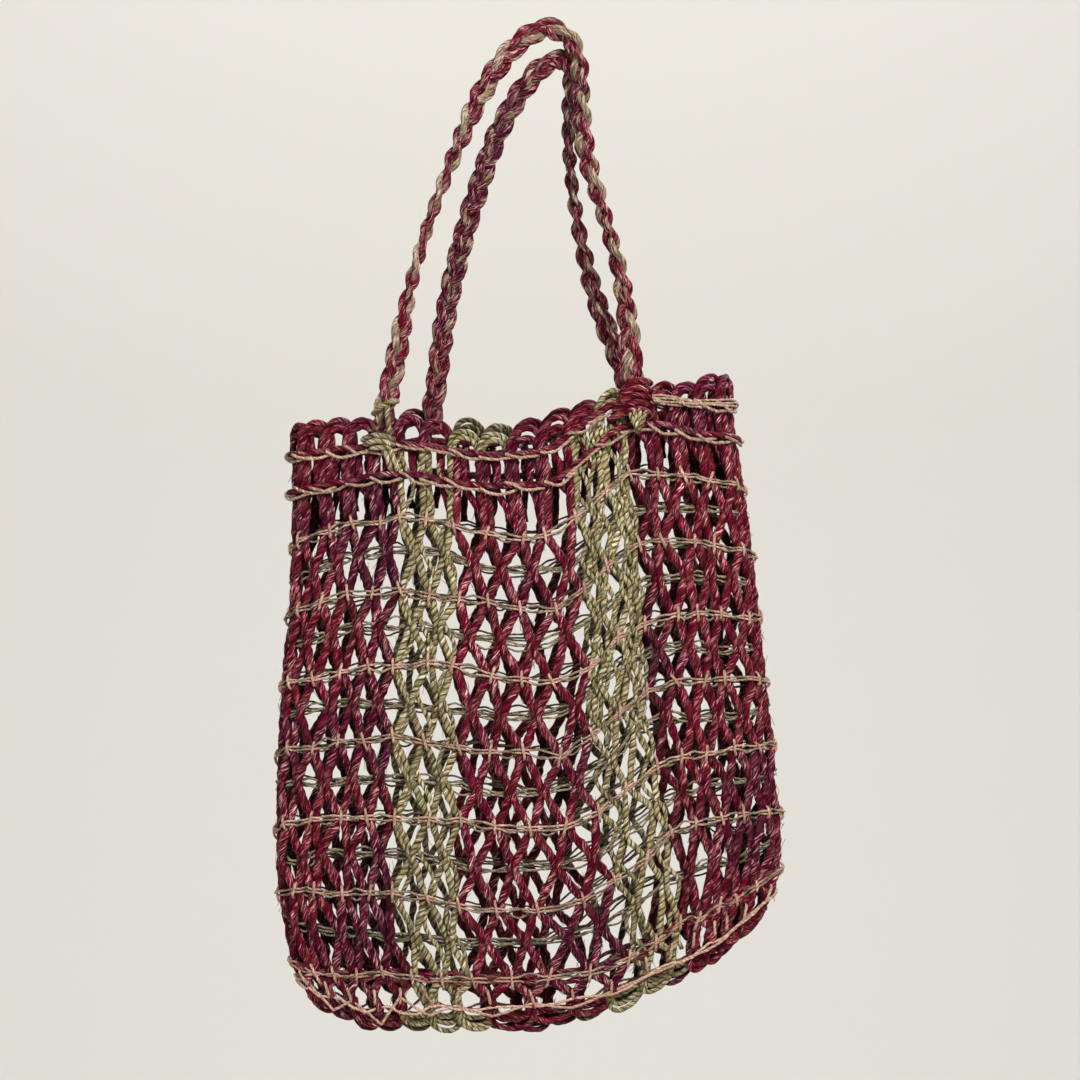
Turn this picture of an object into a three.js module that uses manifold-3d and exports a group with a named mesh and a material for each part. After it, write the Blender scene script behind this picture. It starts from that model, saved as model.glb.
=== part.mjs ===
// An openwork tote of twisted plant-fibre cord, hung by its two braided handles.
// Millimetres, +Z up. The origin is under the bend of the handles, where the bag is hung.
// The front faces -Y and +X is to the right of someone who looks at it.
import * as THREE from "three";
import { mergeVertices } from "three/addons/utils/BufferGeometryUtils.js";
import Module from "manifold-3d";

const wasm = await Module();
wasm.setup();

// The hung bag at six levels, from the upper rim cord (down 0) to the bottom edge (down 1).
// middle and height place the level's middle, half is half its width, rise lifts its right side per mm,
// side is the radius of the rounded sides, and bulge is how far the middle swells past them.
const LEVELS = [
  { down: 0, middle: -37, half: 155, height: -259, rise: 0.116, side: 17, bulge: 5 },
  { down: 0.25, middle: -31, half: 162, height: -352, rise: 0.128, side: 22, bulge: 8 },
  { down: 0.5, middle: -30, half: 171, height: -445, rise: 0.141, side: 24, bulge: 10 },
  { down: 0.75, middle: -26, half: 177, height: -539, rise: 0.157, side: 19, bulge: 7 },
  { down: 0.9, middle: -21, half: 175, height: -595, rise: 0.17, side: 9, bulge: 2 },
  { down: 1, middle: -19, half: 167, height: -632, rise: 0.184, side: 5, bulge: 0 },
];
const DROP = 373; // height of the body between those two levels at its sides

// How far the cloth hangs below the straight line between its sides.
const BOTTOM_SAG = 58;
const BOTTOM_SAG_GROWTH = 1.2;
const BOTTOM_SAG_FULLNESS = 0.8;
const FRONT_RIM = { sag: 22, reach: 0.58 };
const BACK_RIM = { sag: 13, reach: 0.46 };
const RIM_SAG_FADE = 3;

// The net: columns of diamonds round the bag, and rows of them down it.
const COLUMNS = 24;
const ROWS = 10;
const NET_TOP = 0.0745;
const NET_FIRST_ROW = 0.08;
const NET_LAST_ROW = 0.948;
const NET_BOTTOM = 0.9555;
const NET_THICK = 5;
// A bound pair of cords on each face: half its width in columns, and in mm below the row's line
// the end of its straight side and the fork where its two cords part.
const OUTER_FACE = { out: NET_THICK / 2, half: 0.12, straight: 5, fork: 5.5 };
const INNER_FACE = { out: -NET_THICK / 2, half: 0.2, straight: 3, fork: 8 };

// The twine of a bound row lies on the outer face.
const TWINE_ROWS = [1, 3, 5, 7, 9];
const TWINE_HALF = 1.5;
const TWINE_THICK = 2.4;
const CLEARANCE = 0.5;

// The rim's section: how far down and how far out each point of its outline lies, in mm.
// The upright cords between its two level cords show as ribs.
const RIM_OUTLINE = [
  { down: -4.5, out: 0 },
  { down: -1, out: 4.6 },
  { down: 4, out: 2.6, ribbed: true },
  { down: 18.5, out: 2.6, ribbed: true },
  { down: 23, out: 4.8 },
  { down: 27.4, out: 2 },
  { down: 27.4, out: -2.5 },
  { down: 0, out: -3.4 },
];
const RIM_STEPS = 24;
const RIM_RIB = 0.9;
const RIM_SEAM = 0.0004;

// The turned-over loops on the rim, about one to a column, clear of the handles' feet and the rim's ends.
const FOOT_ROOM = 0.57;
const END_ROOM = 0.06;
const LOOP_HALF = 0.43;
const LOOP_FOOT = 1;
const LOOP_RISE = 15;
const LOOP_RADIUS = 3.2;
const LOOP_SIDES = 4;
const LOOP_STEPS = 6;

// The laced bottom's section, from its top edge down one wall.
const BORDER_OUTLINE = [
  { down: 0.9568, out: 2.5 },
  { down: 0.966, out: 4.4 },
  { down: 0.977, out: 2.2 },
  { down: 0.99, out: 3.6 },
  { down: 1.003, out: 0.6 },
];
const SCALLOPS = 14;
const SCALLOP_STEPS = 3;
const SCALLOP_DEEP = 5;
const BORDER_END = 0.012;

// The handles: the columns that their feet stand on, and their routes from the left foot to the right one.
const HANDLE_WIDE = 15;
const HANDLE_THICK = 9;
const BRAID_BUMP = 18;
const BRAID_STEP = 4.5;
const BRAID_SWELL = 0.75;
const FOOT_DOWN = -4.9;
const FOOT_STRAIGHT = 8;
// turn is how far the braid's flat face turns away from the front, in degrees.
const FRONT_HANDLE = {
  feet: [2.65, 9.29],
  route: [
    { x: -119.5, y: -18, z: -207, turn: 20 },
    { x: -110, y: -16, z: -158, turn: 60 },
    { x: -95, y: -14, z: -106, turn: 70 },
    { x: -76.5, y: -12, z: -58, turn: 50 },
    { x: -57, y: -10, z: -14.5, turn: 25 },
    { x: -36, y: -9, z: 14.5, turn: 15 },
    { x: -13, y: -8.5, z: 29.5, turn: 20 },
    { x: 3.5, y: -9, z: 23, turn: 40 },
    { x: 12.5, y: -9.5, z: 3, turn: 50 },
    { x: 15, y: -11, z: -25, turn: 55 },
    { x: 19.5, y: -12, z: -61, turn: 60 },
    { x: 30, y: -14, z: -104, turn: 60 },
    { x: 41.5, y: -16, z: -151, turn: 45 },
    { x: 47.5, y: -18, z: -191, turn: 20 },
  ],
};
const BACK_HANDLE = {
  feet: [20.14, 14.8],
  route: [
    { x: -91.5, y: 18, z: -227, turn: 0 },
    { x: -86.5, y: 17, z: -187, turn: 0 },
    { x: -77, y: 15, z: -140, turn: 0 },
    { x: -63.5, y: 13, z: -92, turn: 0 },
    { x: -45.5, y: 10, z: -42, turn: 5 },
    { x: -27.5, y: 7, z: -11.5, turn: 12 },
    { x: -11, y: 5, z: 5, turn: 25 },
    { x: 0, y: 4, z: 7, turn: 45 },
    { x: 4.5, y: 4, z: -4, turn: 55 },
    { x: 3.8, y: 5, z: -29, turn: 55 },
    { x: 4.4, y: 8, z: -58, turn: 55 },
    { x: 8.5, y: 11, z: -97, turn: 55 },
    { x: 16.5, y: 14, z: -138, turn: 45 },
    { x: 27, y: 17, z: -174, turn: 30 },
    { x: 37, y: 18, z: -199, turn: 15 },
  ],
};

// The wraps round the front handle's feet, low and high above the rim along the handle.
const LASHINGS = [
  { name: "lashing_left", foot: 0, low: 1.5, high: 15, natural: true },
  { name: "lashing_right", foot: 1, low: 1.5, high: 23, natural: false },
];
const LASHING_ROOM = 1.3;
const LASHING_THICK = 3;
const LASHING_RIDGE = 1;
const LASHING_TURN = 4.5;
const LASHING_SIDES = 12;

const BURGUNDY = new THREE.Color(0x6f1a2c);
const NATURAL = new THREE.Color(0x9a9064);
const TWINE = new THREE.Color(0xb39a7c);

// Shape of the hung bag

function hermite(from, leave, to, reach, part) {
  const square = part * part;
  const cube = square * part;
  return (
    from * (2 * cube - 3 * square + 1) +
    leave * (cube - 2 * square + part) +
    to * (3 * square - 2 * cube) +
    reach * (cube - square)
  );
}

// The sizes of the bag at any level, on a smooth curve through the table.
function levelAt(down) {
  const last = LEVELS.length - 1;
  let row = 0;
  while (row < last - 1 && down > LEVELS[row + 1].down) row++;
  const before = LEVELS[Math.max(row - 1, 0)];
  const low = LEVELS[row];
  const high = LEVELS[row + 1];
  const after = LEVELS[Math.min(row + 2, last)];
  const span = high.down - low.down;
  const part = (down - low.down) / span;
  const level = {};
  for (const size of Object.keys(low)) {
    const leave = ((high[size] - before[size]) / (high.down - before.down)) * span;
    const reach = ((after[size] - low[size]) / (after.down - low.down)) * span;
    level[size] = hermite(low[size], leave, high[size], reach, part);
  }
  return level;
}

// How far the mouth's edge hangs between the handles: full in the middle and nothing at their feet.
function rimSag(across, rim) {
  if (Math.abs(across) > rim.reach) return 0;
  return (rim.sag * (1 + Math.cos((Math.PI * across) / rim.reach))) / 2;
}

// A point of the bag's wall. around runs from 0 at the left side over the front to 0.5 at the right side,
// and over the back to 1. down is the level, and out is the distance outside the wall's middle surface.
function wall(around, down, out = 0) {
  const level = levelAt(down);
  const flat = level.half - level.side;
  const quarter = (Math.PI * level.side) / 2;
  const halfGirth = 2 * (flat + quarter);
  const whole = ((around % 1) + 1) % 1;
  const onBack = whole > 0.5;
  const along = 2 * halfGirth * (onBack ? 1 - whole : whole);
  const face = onBack ? 1 : -1;
  const normal = new THREE.Vector3();
  const point = new THREE.Vector3();
  if (along < quarter || along > halfGirth - quarter) {
    const hand = along < quarter ? -1 : 1;
    const angle = (Math.min(along, halfGirth - along) / quarter) * (Math.PI / 2);
    normal.set(hand * Math.cos(angle), face * Math.sin(angle), 0);
    point.set(hand * flat, 0, 0).addScaledVector(normal, level.side);
  } else {
    const share = (along - halfGirth / 2) / flat;
    const fall = 1 - share * share;
    normal.set((4 * level.bulge * share * fall) / flat, face, 0).normalize();
    point.set(share * flat, face * (level.side + level.bulge * fall * fall), 0);
  }
  const across = point.x / level.half;
  const fullness = Math.max(1 - across * across, 0) ** BOTTOM_SAG_FULLNESS;
  const bottomSag = BOTTOM_SAG * Math.max(down, 0) ** BOTTOM_SAG_GROWTH * fullness;
  const mouthSag = rimSag(across, onBack ? BACK_RIM : FRONT_RIM) * (1 - down) ** RIM_SAG_FADE;
  point.z = level.height + level.rise * point.x - bottomSag - mouthSag;
  point.x += level.middle;
  return point.addScaledVector(normal, out);
}

// Skins and solids

function geometryOf(points, index) {
  const geometry = new THREE.BufferGeometry().setFromPoints(points);
  return geometry.setIndex(index);
}

// A closed skin over a run of like sections, each a loop of points turning right-handed about the run.
// A ring joins its last section to its first, and an open run gets flat ends.
function skin(sections, ring = false) {
  const count = sections.length;
  const sides = sections[0].length;
  const index = [];
  for (let i = 0; i < (ring ? count : count - 1); i++) {
    const here = i * sides;
    const next = ((i + 1) % count) * sides;
    for (let j = 0; j < sides; j++) {
      const k = (j + 1) % sides;
      index.push(here + j, here + k, next + k, here + j, next + k, next + j);
    }
  }
  const last = (count - 1) * sides;
  for (let j = 1; !ring && j < sides - 1; j++) {
    index.push(0, j + 1, j, last, last + j, last + j + 1);
  }
  return geometryOf(sections.flat(), index);
}

function manifoldOf(geometry) {
  const merged = mergeVertices(geometry);
  const vertProperties = merged.getAttribute("position").array;
  const triVerts = new Uint32Array(merged.index.array);
  return new wasm.Manifold(new wasm.Mesh({ numProp: 3, vertProperties, triVerts }));
}

function geometryOfManifold(solid) {
  const made = solid.getMesh();
  const geometry = new THREE.BufferGeometry();
  geometry.setAttribute("position", new THREE.BufferAttribute(made.vertProperties, 3));
  return geometry.setIndex(new THREE.BufferAttribute(made.triVerts, 1));
}

// The net of bound cords

function rowDown(row) {
  return NET_FIRST_ROW + ((NET_LAST_ROW - NET_FIRST_ROW) * row) / ROWS;
}

// A diamond gap's corners, clockwise from outside. Those of the first and last rows are half diamonds.
function gapCorners(row, column, face) {
  const straight = face.straight / DROP;
  const fork = face.fork / DROP;
  const level = rowDown(row);
  const left = column - 0.5 + face.half;
  const right = column + 0.5 - face.half;
  const corners = [];
  if (row > 0) {
    corners.push({ name: "top", column, down: rowDown(row - 1) + fork });
    corners.push({ name: "upperRight", column: right, down: level - straight });
  }
  if (row === ROWS) corners.push({ name: "middle", column, down: level - straight });
  if (row < ROWS) {
    corners.push({ name: "lowerRight", column: right, down: level + straight });
    corners.push({ name: "bottom", column, down: rowDown(row + 1) - fork });
    corners.push({ name: "lowerLeft", column: left, down: level + straight });
  }
  if (row === 0) corners.push({ name: "middle", column, down: level + straight });
  if (row > 0) corners.push({ name: "upperLeft", column: left, down: level - straight });
  return corners;
}

// The whole tube: an outer and an inner face of bound pairs and slanting legs, the gaps' walls,
// and two plain edges.
function netBody() {
  const points = [];
  const index = [];
  const gaps = new Map();
  const edges = { top: [], bottom: [] };
  const addPoint = (column, down, face) => points.push(wall(column / COLUMNS, down, face.out)) - 1;
  const bothFaces = (make) => [make(OUTER_FACE), make(INNER_FACE)];
  const addFace = (...corners) => {
    for (let i = 1; i < corners.length - 1; i++) {
      const [a, b, c] = [corners[0], corners[i], corners[i + 1]];
      index.push(a[0], b[0], c[0], a[1], c[1], b[1]);
    }
  };
  // The wall between the faces under an edge that a face runs from a to b.
  const addWall = (a, b) => index.push(b[0], a[0], a[1], b[0], a[1], b[1]);
  const gapAt = (row, column) => gaps.get(`${row} ${(column + COLUMNS) % COLUMNS}`);

  for (let row = 0; row <= ROWS; row++) {
    const shift = row % 2 ? 0 : 0.5;
    for (let column = shift; column < COLUMNS; column++) {
      const [outer, inner] = bothFaces((face) => gapCorners(row, column, face));
      const gap = {};
      outer.forEach((corner, i) => {
        gap[corner.name] = [
          addPoint(corner.column, corner.down, OUTER_FACE),
          addPoint(inner[i].column, inner[i].down, INNER_FACE),
        ];
      });
      gaps.set(`${row} ${column}`, gap);
      outer.forEach((corner, i) => addWall(gap[corner.name], gap[outer[(i + 1) % outer.length].name]));
    }
  }

  for (let column = 0; column < COLUMNS; column++) {
    for (const [edge, down] of [["top", NET_TOP], ["bottom", NET_BOTTOM]]) {
      edges[edge].push({
        left: bothFaces((face) => addPoint(column + face.half, down, face)),
        middle: bothFaces((face) => addPoint(column + 0.5, down, face)),
        right: bothFaces((face) => addPoint(column + 1 - face.half, down, face)),
      });
    }
  }

  for (let row = 0; row <= ROWS; row++) {
    const shift = row % 2 ? 0.5 : 0;
    for (let column = shift; column < COLUMNS; column++) {
      const above = gapAt(row - 1, column);
      const below = gapAt(row + 1, column);
      const left = gapAt(row, column - 0.5);
      const right = gapAt(row, column + 0.5);
      if (row > 0 && row < ROWS) {
        addFace(above.bottom, left.upperRight, left.lowerRight, below.top, right.lowerLeft, right.upperLeft);
      }
      if (row < ROWS) {
        addFace(right.lowerLeft, below.top, below.upperRight, right.bottom);
        addFace(below.top, left.lowerRight, left.bottom, below.upperLeft);
      }
      if (row > 0 && row < ROWS) continue;
      const edge = row === 0 ? edges.top : edges.bottom;
      const before = edge[(column + COLUMNS - 1) % COLUMNS].right;
      const { left: start, middle, right: end } = edge[column];
      if (row === 0) {
        addFace(before, left.lowerRight, below.top, right.lowerLeft, start);
        addFace(start, right.lowerLeft, right.middle, middle);
        addFace(middle, right.middle, right.lowerRight, end);
        addWall(start, before);
        addWall(middle, start);
        addWall(end, middle);
      } else {
        addFace(above.bottom, left.upperRight, before, start, right.upperLeft);
        addFace(right.upperLeft, start, middle, right.middle);
        addFace(right.middle, middle, end, right.upperRight);
        addWall(before, start);
        addWall(start, middle);
        addWall(middle, end);
      }
    }
  }
  return geometryOf(points, index);
}

// Twine along a bound row: it crosses each pair of cords flat and spans the gaps between.
function twineRow(row) {
  const level = rowDown(row);
  const half = TWINE_HALF / DROP;
  const seat = OUTER_FACE.out + CLEARANCE;
  const shift = row % 2 ? 0.5 : 0;
  const sections = [];
  for (let column = shift; column < COLUMNS; column++) {
    for (const step of [-OUTER_FACE.half, 0, OUTER_FACE.half, 0.5]) {
      const around = (column + step) / COLUMNS;
      sections.push([
        wall(around, level, seat + TWINE_THICK),
        wall(around, level + half, seat),
        wall(around, level - half, seat),
      ]);
    }
  }
  return skin(sections, true);
}

// The rim, front and back, with its loops

// Where each loop stands and how wide it is, in columns: even runs between a handle's feet and the rim's ends.
function loopPlaces(first, feet) {
  const stops = [
    { column: first, room: END_ROOM },
    ...feet.toSorted((a, b) => a - b).map((column) => ({ column, room: FOOT_ROOM })),
    { column: first + COLUMNS / 2, room: END_ROOM },
  ];
  return stops.slice(1).flatMap((stop, i) => {
    const start = stops[i].column + stops[i].room;
    const run = stop.column - stop.room - start;
    const count = Math.round(run);
    const width = run / count;
    const places = Array.from({ length: count }, (_, k) => start + (k + 0.5) * width);
    return places.map((column) => ({ column, half: LOOP_HALF * width }));
  });
}

function loopOnRim({ column, half }) {
  const sections = [];
  for (let step = 0; step <= LOOP_STEPS; step++) {
    const angle = (Math.PI * step) / LOOP_STEPS;
    const section = [];
    for (let corner = 0; corner < LOOP_SIDES; corner++) {
      const turn = (2 * Math.PI * corner) / LOOP_SIDES;
      const share = 1 - (LOOP_RADIUS * Math.sin(turn)) / LOOP_RISE;
      const up = LOOP_FOOT + LOOP_RISE * share * Math.sin(angle);
      const around = (column - half * share * Math.cos(angle)) / COLUMNS;
      section.push(wall(around, -up / DROP, LOOP_RADIUS * Math.cos(turn)));
    }
    sections.push(section);
  }
  return skin(sections);
}

// Half of the rim, from one side of the bag to the other, with the loops between its handle's feet
function rimHalf(first, feet) {
  const sections = [];
  for (let step = 0; step <= RIM_STEPS; step++) {
    const rib = step % 2 ? RIM_RIB : -RIM_RIB;
    const around = first / COLUMNS + RIM_SEAM + ((0.5 - 2 * RIM_SEAM) * step) / RIM_STEPS;
    const place = ({ down, out, ribbed }) => wall(around, down / DROP, out + (ribbed ? rib : 0));
    sections.push(RIM_OUTLINE.map(place));
  }
  let solid = manifoldOf(skin(sections));
  for (const place of loopPlaces(first, feet)) solid = solid.add(manifoldOf(loopOnRim(place)));
  return geometryOfManifold(solid);
}

// The laced bottom, front and back in one, with scallops along its lower edge
function bottomBorder() {
  const stations = SCALLOPS * SCALLOP_STEPS;
  const sections = [];
  for (let station = 0; station <= stations; station++) {
    const along = BORDER_END + ((0.5 - 2 * BORDER_END) * station) / stations;
    const scallop = (SCALLOP_DEEP / DROP) * Math.abs(Math.sin((Math.PI * station) / SCALLOP_STEPS));
    const lowest = BORDER_OUTLINE.length - 1;
    const place = (around) => ({ down, out }, i) => wall(around, down + (i === lowest ? scallop : 0), out);
    const front = BORDER_OUTLINE.map(place(along));
    const back = BORDER_OUTLINE.map(place(1 - along));
    sections.push([...front, ...back.reverse()]);
  }
  return skin(sections);
}

// The braided handles

function footPoint(column, up) {
  return wall(column / COLUMNS, (FOOT_DOWN - up) / DROP);
}

// A foot's route leaves the rim at right angles to its edge.
function footRise(column) {
  const foot = footPoint(column, 0);
  const edge = footPoint(column + 0.2, 0).sub(footPoint(column - 0.2, 0));
  const rise = new THREE.Vector3(-edge.z, 0, edge.x).setLength(FOOT_STRAIGHT);
  if (rise.z < 0) rise.negate();
  return foot.add(rise);
}

// The middle of the handle and the directions across it, by distance from its left foot.
function handleFrame(handle) {
  const [start, end] = handle.feet;
  const route = handle.route.map(({ x, y, z }) => new THREE.Vector3(x, y, z));
  const points = [footPoint(start, 0), footRise(start), ...route, footRise(end), footPoint(end, 0)];
  const turns = [0, 0, ...handle.route.map(({ turn }) => turn), 0, 0];
  const curve = new THREE.CatmullRomCurve3(points, false, "centripetal");
  const length = curve.getLength();
  const frameAt = (distance) => {
    const share = Math.min(Math.max(distance / length, 0), 1);
    const centre = curve.getPointAt(share);
    const ahead = curve.getTangentAt(share);
    const place = curve.getUtoTmapping(share) * (turns.length - 1);
    const row = Math.min(Math.floor(place), turns.length - 2);
    const turn = THREE.MathUtils.degToRad(THREE.MathUtils.lerp(turns[row], turns[row + 1], place - row));
    const thin = new THREE.Vector3(0, -1, 0).projectOnPlane(ahead).normalize().applyAxisAngle(ahead, turn);
    const wide = new THREE.Vector3().crossVectors(ahead, thin);
    return { centre, ahead, thin, wide };
  };
  return { length, frameAt };
}

// A flat braid: its edges and faces swell in turn where a strand comes round.
function braidedHandle(handle) {
  const { length, frameAt } = handleFrame(handle);
  const steps = Math.round(length / BRAID_STEP);
  const sections = [];
  for (let step = 0; step <= steps; step++) {
    const distance = (length * step) / steps;
    const { centre, thin, wide } = frameAt(distance);
    const swell = BRAID_SWELL * Math.cos((2 * Math.PI * distance) / BRAID_BUMP);
    const place = (across, through) =>
      centre.clone().addScaledVector(wide, across).addScaledVector(thin, through);
    const edge = HANDLE_WIDE / 2 - BRAID_SWELL;
    const face = HANDLE_THICK / 2 - BRAID_SWELL;
    const crown = HANDLE_WIDE / 4;
    sections.push([
      place(-crown, face + swell),
      place(crown, face - swell),
      place(edge + swell, 0),
      place(crown, -face - swell),
      place(-crown, -face + swell),
      place(-edge + swell, 0),
    ]);
  }
  return skin(sections);
}

// A wrap of several turns round a handle's foot, ridged turn by turn
function lashing({ foot, low, high }) {
  const { length, frameAt } = handleFrame(FRONT_HANDLE);
  const turns = Math.round((high - low) / LASHING_TURN);
  const rings = [];
  for (let half = 0; half <= 2 * turns; half++) {
    const rise = high - ((high - low) * half) / (2 * turns);
    rings.push({ rise, thick: LASHING_THICK - (half % 2 ? 0 : LASHING_RIDGE) });
  }
  rings.push({ rise: low, thick: 0 }, { rise: high, thick: 0 });
  const sections = [];
  for (let side = 0; side < LASHING_SIDES; side++) {
    const angle = (2 * Math.PI * side) / LASHING_SIDES;
    sections.push(
      rings.map(({ rise, thick }) => {
        const { centre, ahead, thin, wide } = frameAt(foot ? length - rise : rise);
        const hand = Math.sign(ahead.z);
        const room = LASHING_ROOM + thick;
        return centre
          .addScaledVector(thin, (HANDLE_THICK / 2 + room) * Math.cos(angle))
          .addScaledVector(wide, hand * (HANDLE_WIDE / 2 + room) * Math.sin(angle));
      }),
    );
  }
  return skin(sections, true);
}

// The whole bag

const bag = new THREE.Group();

function addPiece(name, geometry, color, roughness) {
  const material = new THREE.MeshStandardMaterial({ color, roughness, metalness: 0 });
  const mesh = new THREE.Mesh(geometry, material);
  mesh.name = name;
  bag.add(mesh);
}

addPiece("net_body", netBody(), BURGUNDY, 0.75);
addPiece("rim_front", rimHalf(0, FRONT_HANDLE.feet), BURGUNDY, 0.75);
addPiece("rim_back", rimHalf(COLUMNS / 2, BACK_HANDLE.feet), BURGUNDY, 0.75);
addPiece("bottom_border", bottomBorder(), BURGUNDY, 0.75);
TWINE_ROWS.forEach((row, i) => addPiece(`weft_row_${i + 1}`, twineRow(row), TWINE, 0.8));
addPiece("handle_front", braidedHandle(FRONT_HANDLE), BURGUNDY, 0.75);
addPiece("handle_back", braidedHandle(BACK_HANDLE), BURGUNDY, 0.75);
for (const wrap of LASHINGS) {
  addPiece(wrap.name, lashing(wrap), wrap.natural ? NATURAL : BURGUNDY, 0.75);
}

export default bag;
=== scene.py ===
"""Openwork cord tote, hung by its handles: every cord, twine and braid laid on the CAD frame's own shape."""

import bpy
import numpy as np
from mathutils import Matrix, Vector

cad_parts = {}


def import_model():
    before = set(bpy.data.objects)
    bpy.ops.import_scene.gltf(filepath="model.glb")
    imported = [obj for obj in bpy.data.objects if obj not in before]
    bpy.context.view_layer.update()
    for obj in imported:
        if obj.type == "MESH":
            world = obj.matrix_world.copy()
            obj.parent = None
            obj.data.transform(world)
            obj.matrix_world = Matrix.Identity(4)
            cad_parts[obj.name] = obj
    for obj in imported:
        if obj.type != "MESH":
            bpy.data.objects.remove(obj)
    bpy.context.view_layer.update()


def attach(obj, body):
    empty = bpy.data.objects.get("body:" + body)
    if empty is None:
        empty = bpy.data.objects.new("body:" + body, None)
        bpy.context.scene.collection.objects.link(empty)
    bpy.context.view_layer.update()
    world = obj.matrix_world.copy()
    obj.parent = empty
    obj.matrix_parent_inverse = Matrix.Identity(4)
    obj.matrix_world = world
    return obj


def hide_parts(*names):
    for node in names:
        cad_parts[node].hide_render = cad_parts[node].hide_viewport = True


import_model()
random = np.random.default_rng(11)
MM = 0.001
UP = np.array([0.0, 0.0, 1.0])


# The hung shape

# One row for each level of the bag: its middle, half width, height, rise to the right for each unit
# across, the radius of its rounded sides and the bulge of its faces, in millimetres
LEVEL_COLUMNS = ("down", "middle", "half", "height", "rise", "side", "bulge")
LEVELS = np.array([
    (0.0, -37, 155, -259, 0.116, 17, 5),
    (0.25, -31, 162, -352, 0.128, 22, 8),
    (0.5, -30, 171, -445, 0.141, 24, 10),
    (0.75, -26, 177, -539, 0.157, 19, 7),
    (0.9, -21, 175, -595, 0.17, 9, 2),
    (1.0, -19, 167, -632, 0.184, 5, 0),
])
DROP = 373.0
BOTTOM_SAG = 58.0
BOTTOM_SAG_GROWTH = 1.2
BOTTOM_SAG_FULLNESS = 0.8
RIM_SAG_FADE = 3
FRONT_RIM_SAG, FRONT_RIM_REACH = 22.0, 0.58
BACK_RIM_SAG, BACK_RIM_REACH = 13.0, 0.46


def hermite(knots, values, place):
    """Cubic Hermite curve through the values at the knots, with the slope of its two neighbours at each."""
    inner = (values[2:] - values[:-2]) / (knots[2:] - knots[:-2])
    first = (values[1] - values[0]) / (knots[1] - knots[0])
    last = (values[-1] - values[-2]) / (knots[-1] - knots[-2])
    slopes = np.concatenate([[first], inner, [last]])
    row = np.searchsorted(knots[1:-1], place)
    span = knots[row + 1] - knots[row]
    share = (place - knots[row]) / span
    rest = 1 - share
    from_start = (1 + 2 * share) * rest**2 * values[row] + share * rest**2 * span * slopes[row]
    from_end = share**2 * (3 - 2 * share) * values[row + 1] - share**2 * rest * span * slopes[row + 1]
    return from_start + from_end


def level_value(column, down):
    """One column of LEVELS at a level."""
    return hermite(LEVELS[:, 0], LEVELS[:, LEVEL_COLUMNS.index(column)], down)


def girth(down):
    """Length once round the bag at a level, in millimetres."""
    side = level_value("side", down)
    return 4 * (level_value("half", down) - side + np.pi * side / 2)


def rim_sag(across, sag, reach):
    """A raised cosine of depth sag within reach of the middle, and nothing beyond it."""
    return np.where(np.abs(across) < reach, sag * (1 + np.cos(np.pi * across / reach)) / 2, 0.0)


def wall(around, down, out=0.0):
    """Point in metres and outward direction on the bag.

    around runs from 0 at the left side over the front to 0.5 at the right side and over the back to 1;
    down runs from 0 at the rim to 1 at the bottom; out is a distance from the wall in millimetres. Each
    level is two nearly flat faces that bulge in the middle, joined by rounded sides.
    """
    around, down, out = np.broadcast_arrays(around, down, out)
    half, side, bulge = (level_value(name, down) for name in ("half", "side", "bulge"))
    flat = half - side
    quarter = np.pi * side / 2
    half_girth = 2 * (flat + quarter)
    whole = around % 1
    on_back = whole > 0.5
    along = 2 * half_girth * np.where(on_back, 1 - whole, whole)
    face = np.where(on_back, 1.0, -1.0)
    hand = np.where(along < half_girth / 2, -1.0, 1.0)
    angle = np.clip(np.minimum(along, half_girth - along) / quarter, 0, 1) * np.pi / 2
    on_side = (along < quarter) | (along > half_girth - quarter)
    share = np.clip((along - half_girth / 2) / flat, -1, 1)
    fall = 1 - share**2
    slope = 4 * bulge * share * fall / flat
    steepness = np.hypot(slope, 1)
    normal_x = np.where(on_side, hand * np.cos(angle), slope / steepness)
    normal_y = face * np.where(on_side, np.sin(angle), 1 / steepness)
    x = np.where(on_side, hand * (flat + side * np.cos(angle)), share * flat)
    y = face * np.where(on_side, side * np.sin(angle), side + bulge * fall**2)
    across = x / half
    fullness = np.maximum(1 - across**2, 0) ** BOTTOM_SAG_FULLNESS
    bottom_sag = BOTTOM_SAG * np.maximum(down, 0) ** BOTTOM_SAG_GROWTH * fullness
    front_sag = rim_sag(across, FRONT_RIM_SAG, FRONT_RIM_REACH)
    back_sag = rim_sag(across, BACK_RIM_SAG, BACK_RIM_REACH)
    mouth_sag = np.where(on_back, back_sag, front_sag) * np.maximum(1 - down, 0) ** RIM_SAG_FADE
    z = level_value("height", down) + level_value("rise", down) * x - bottom_sag - mouth_sag
    x = x + level_value("middle", down)
    point = np.stack([x + out * normal_x, y + out * normal_y, z], axis=-1) * MM
    normal = np.stack([normal_x, normal_y, np.zeros_like(z)], axis=-1)
    return point, normal


# Cord meshes

CORD_SIDES = 8
TWINE_SIDES = 5
CORD_UNEVEN = 0.25
# The lengths over which a cord swings along the wall and off it, and over which its thickness changes
SIDE_PERIOD, FACE_PERIOD, THICKNESS_PERIOD = 0.021, 0.027, 0.013
THICKNESS_SHARE = 0.45
FIRST_SHARE, SECOND_SHARE, SECOND_RATE = 0.6, 0.4, 2.35
# The length in metres within which each cord's lay starts at a place of its own
LAY_START = 5


def unit(vectors):
    """Vectors scaled to length one."""
    return vectors / np.maximum(np.linalg.norm(vectors, axis=-1, keepdims=True), 1e-9)


def off_line(vectors, ahead):
    """The part of each vector at right angles to its line, at length one."""
    return unit(vectors - np.sum(vectors * ahead, axis=-1, keepdims=True) * ahead)


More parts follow.
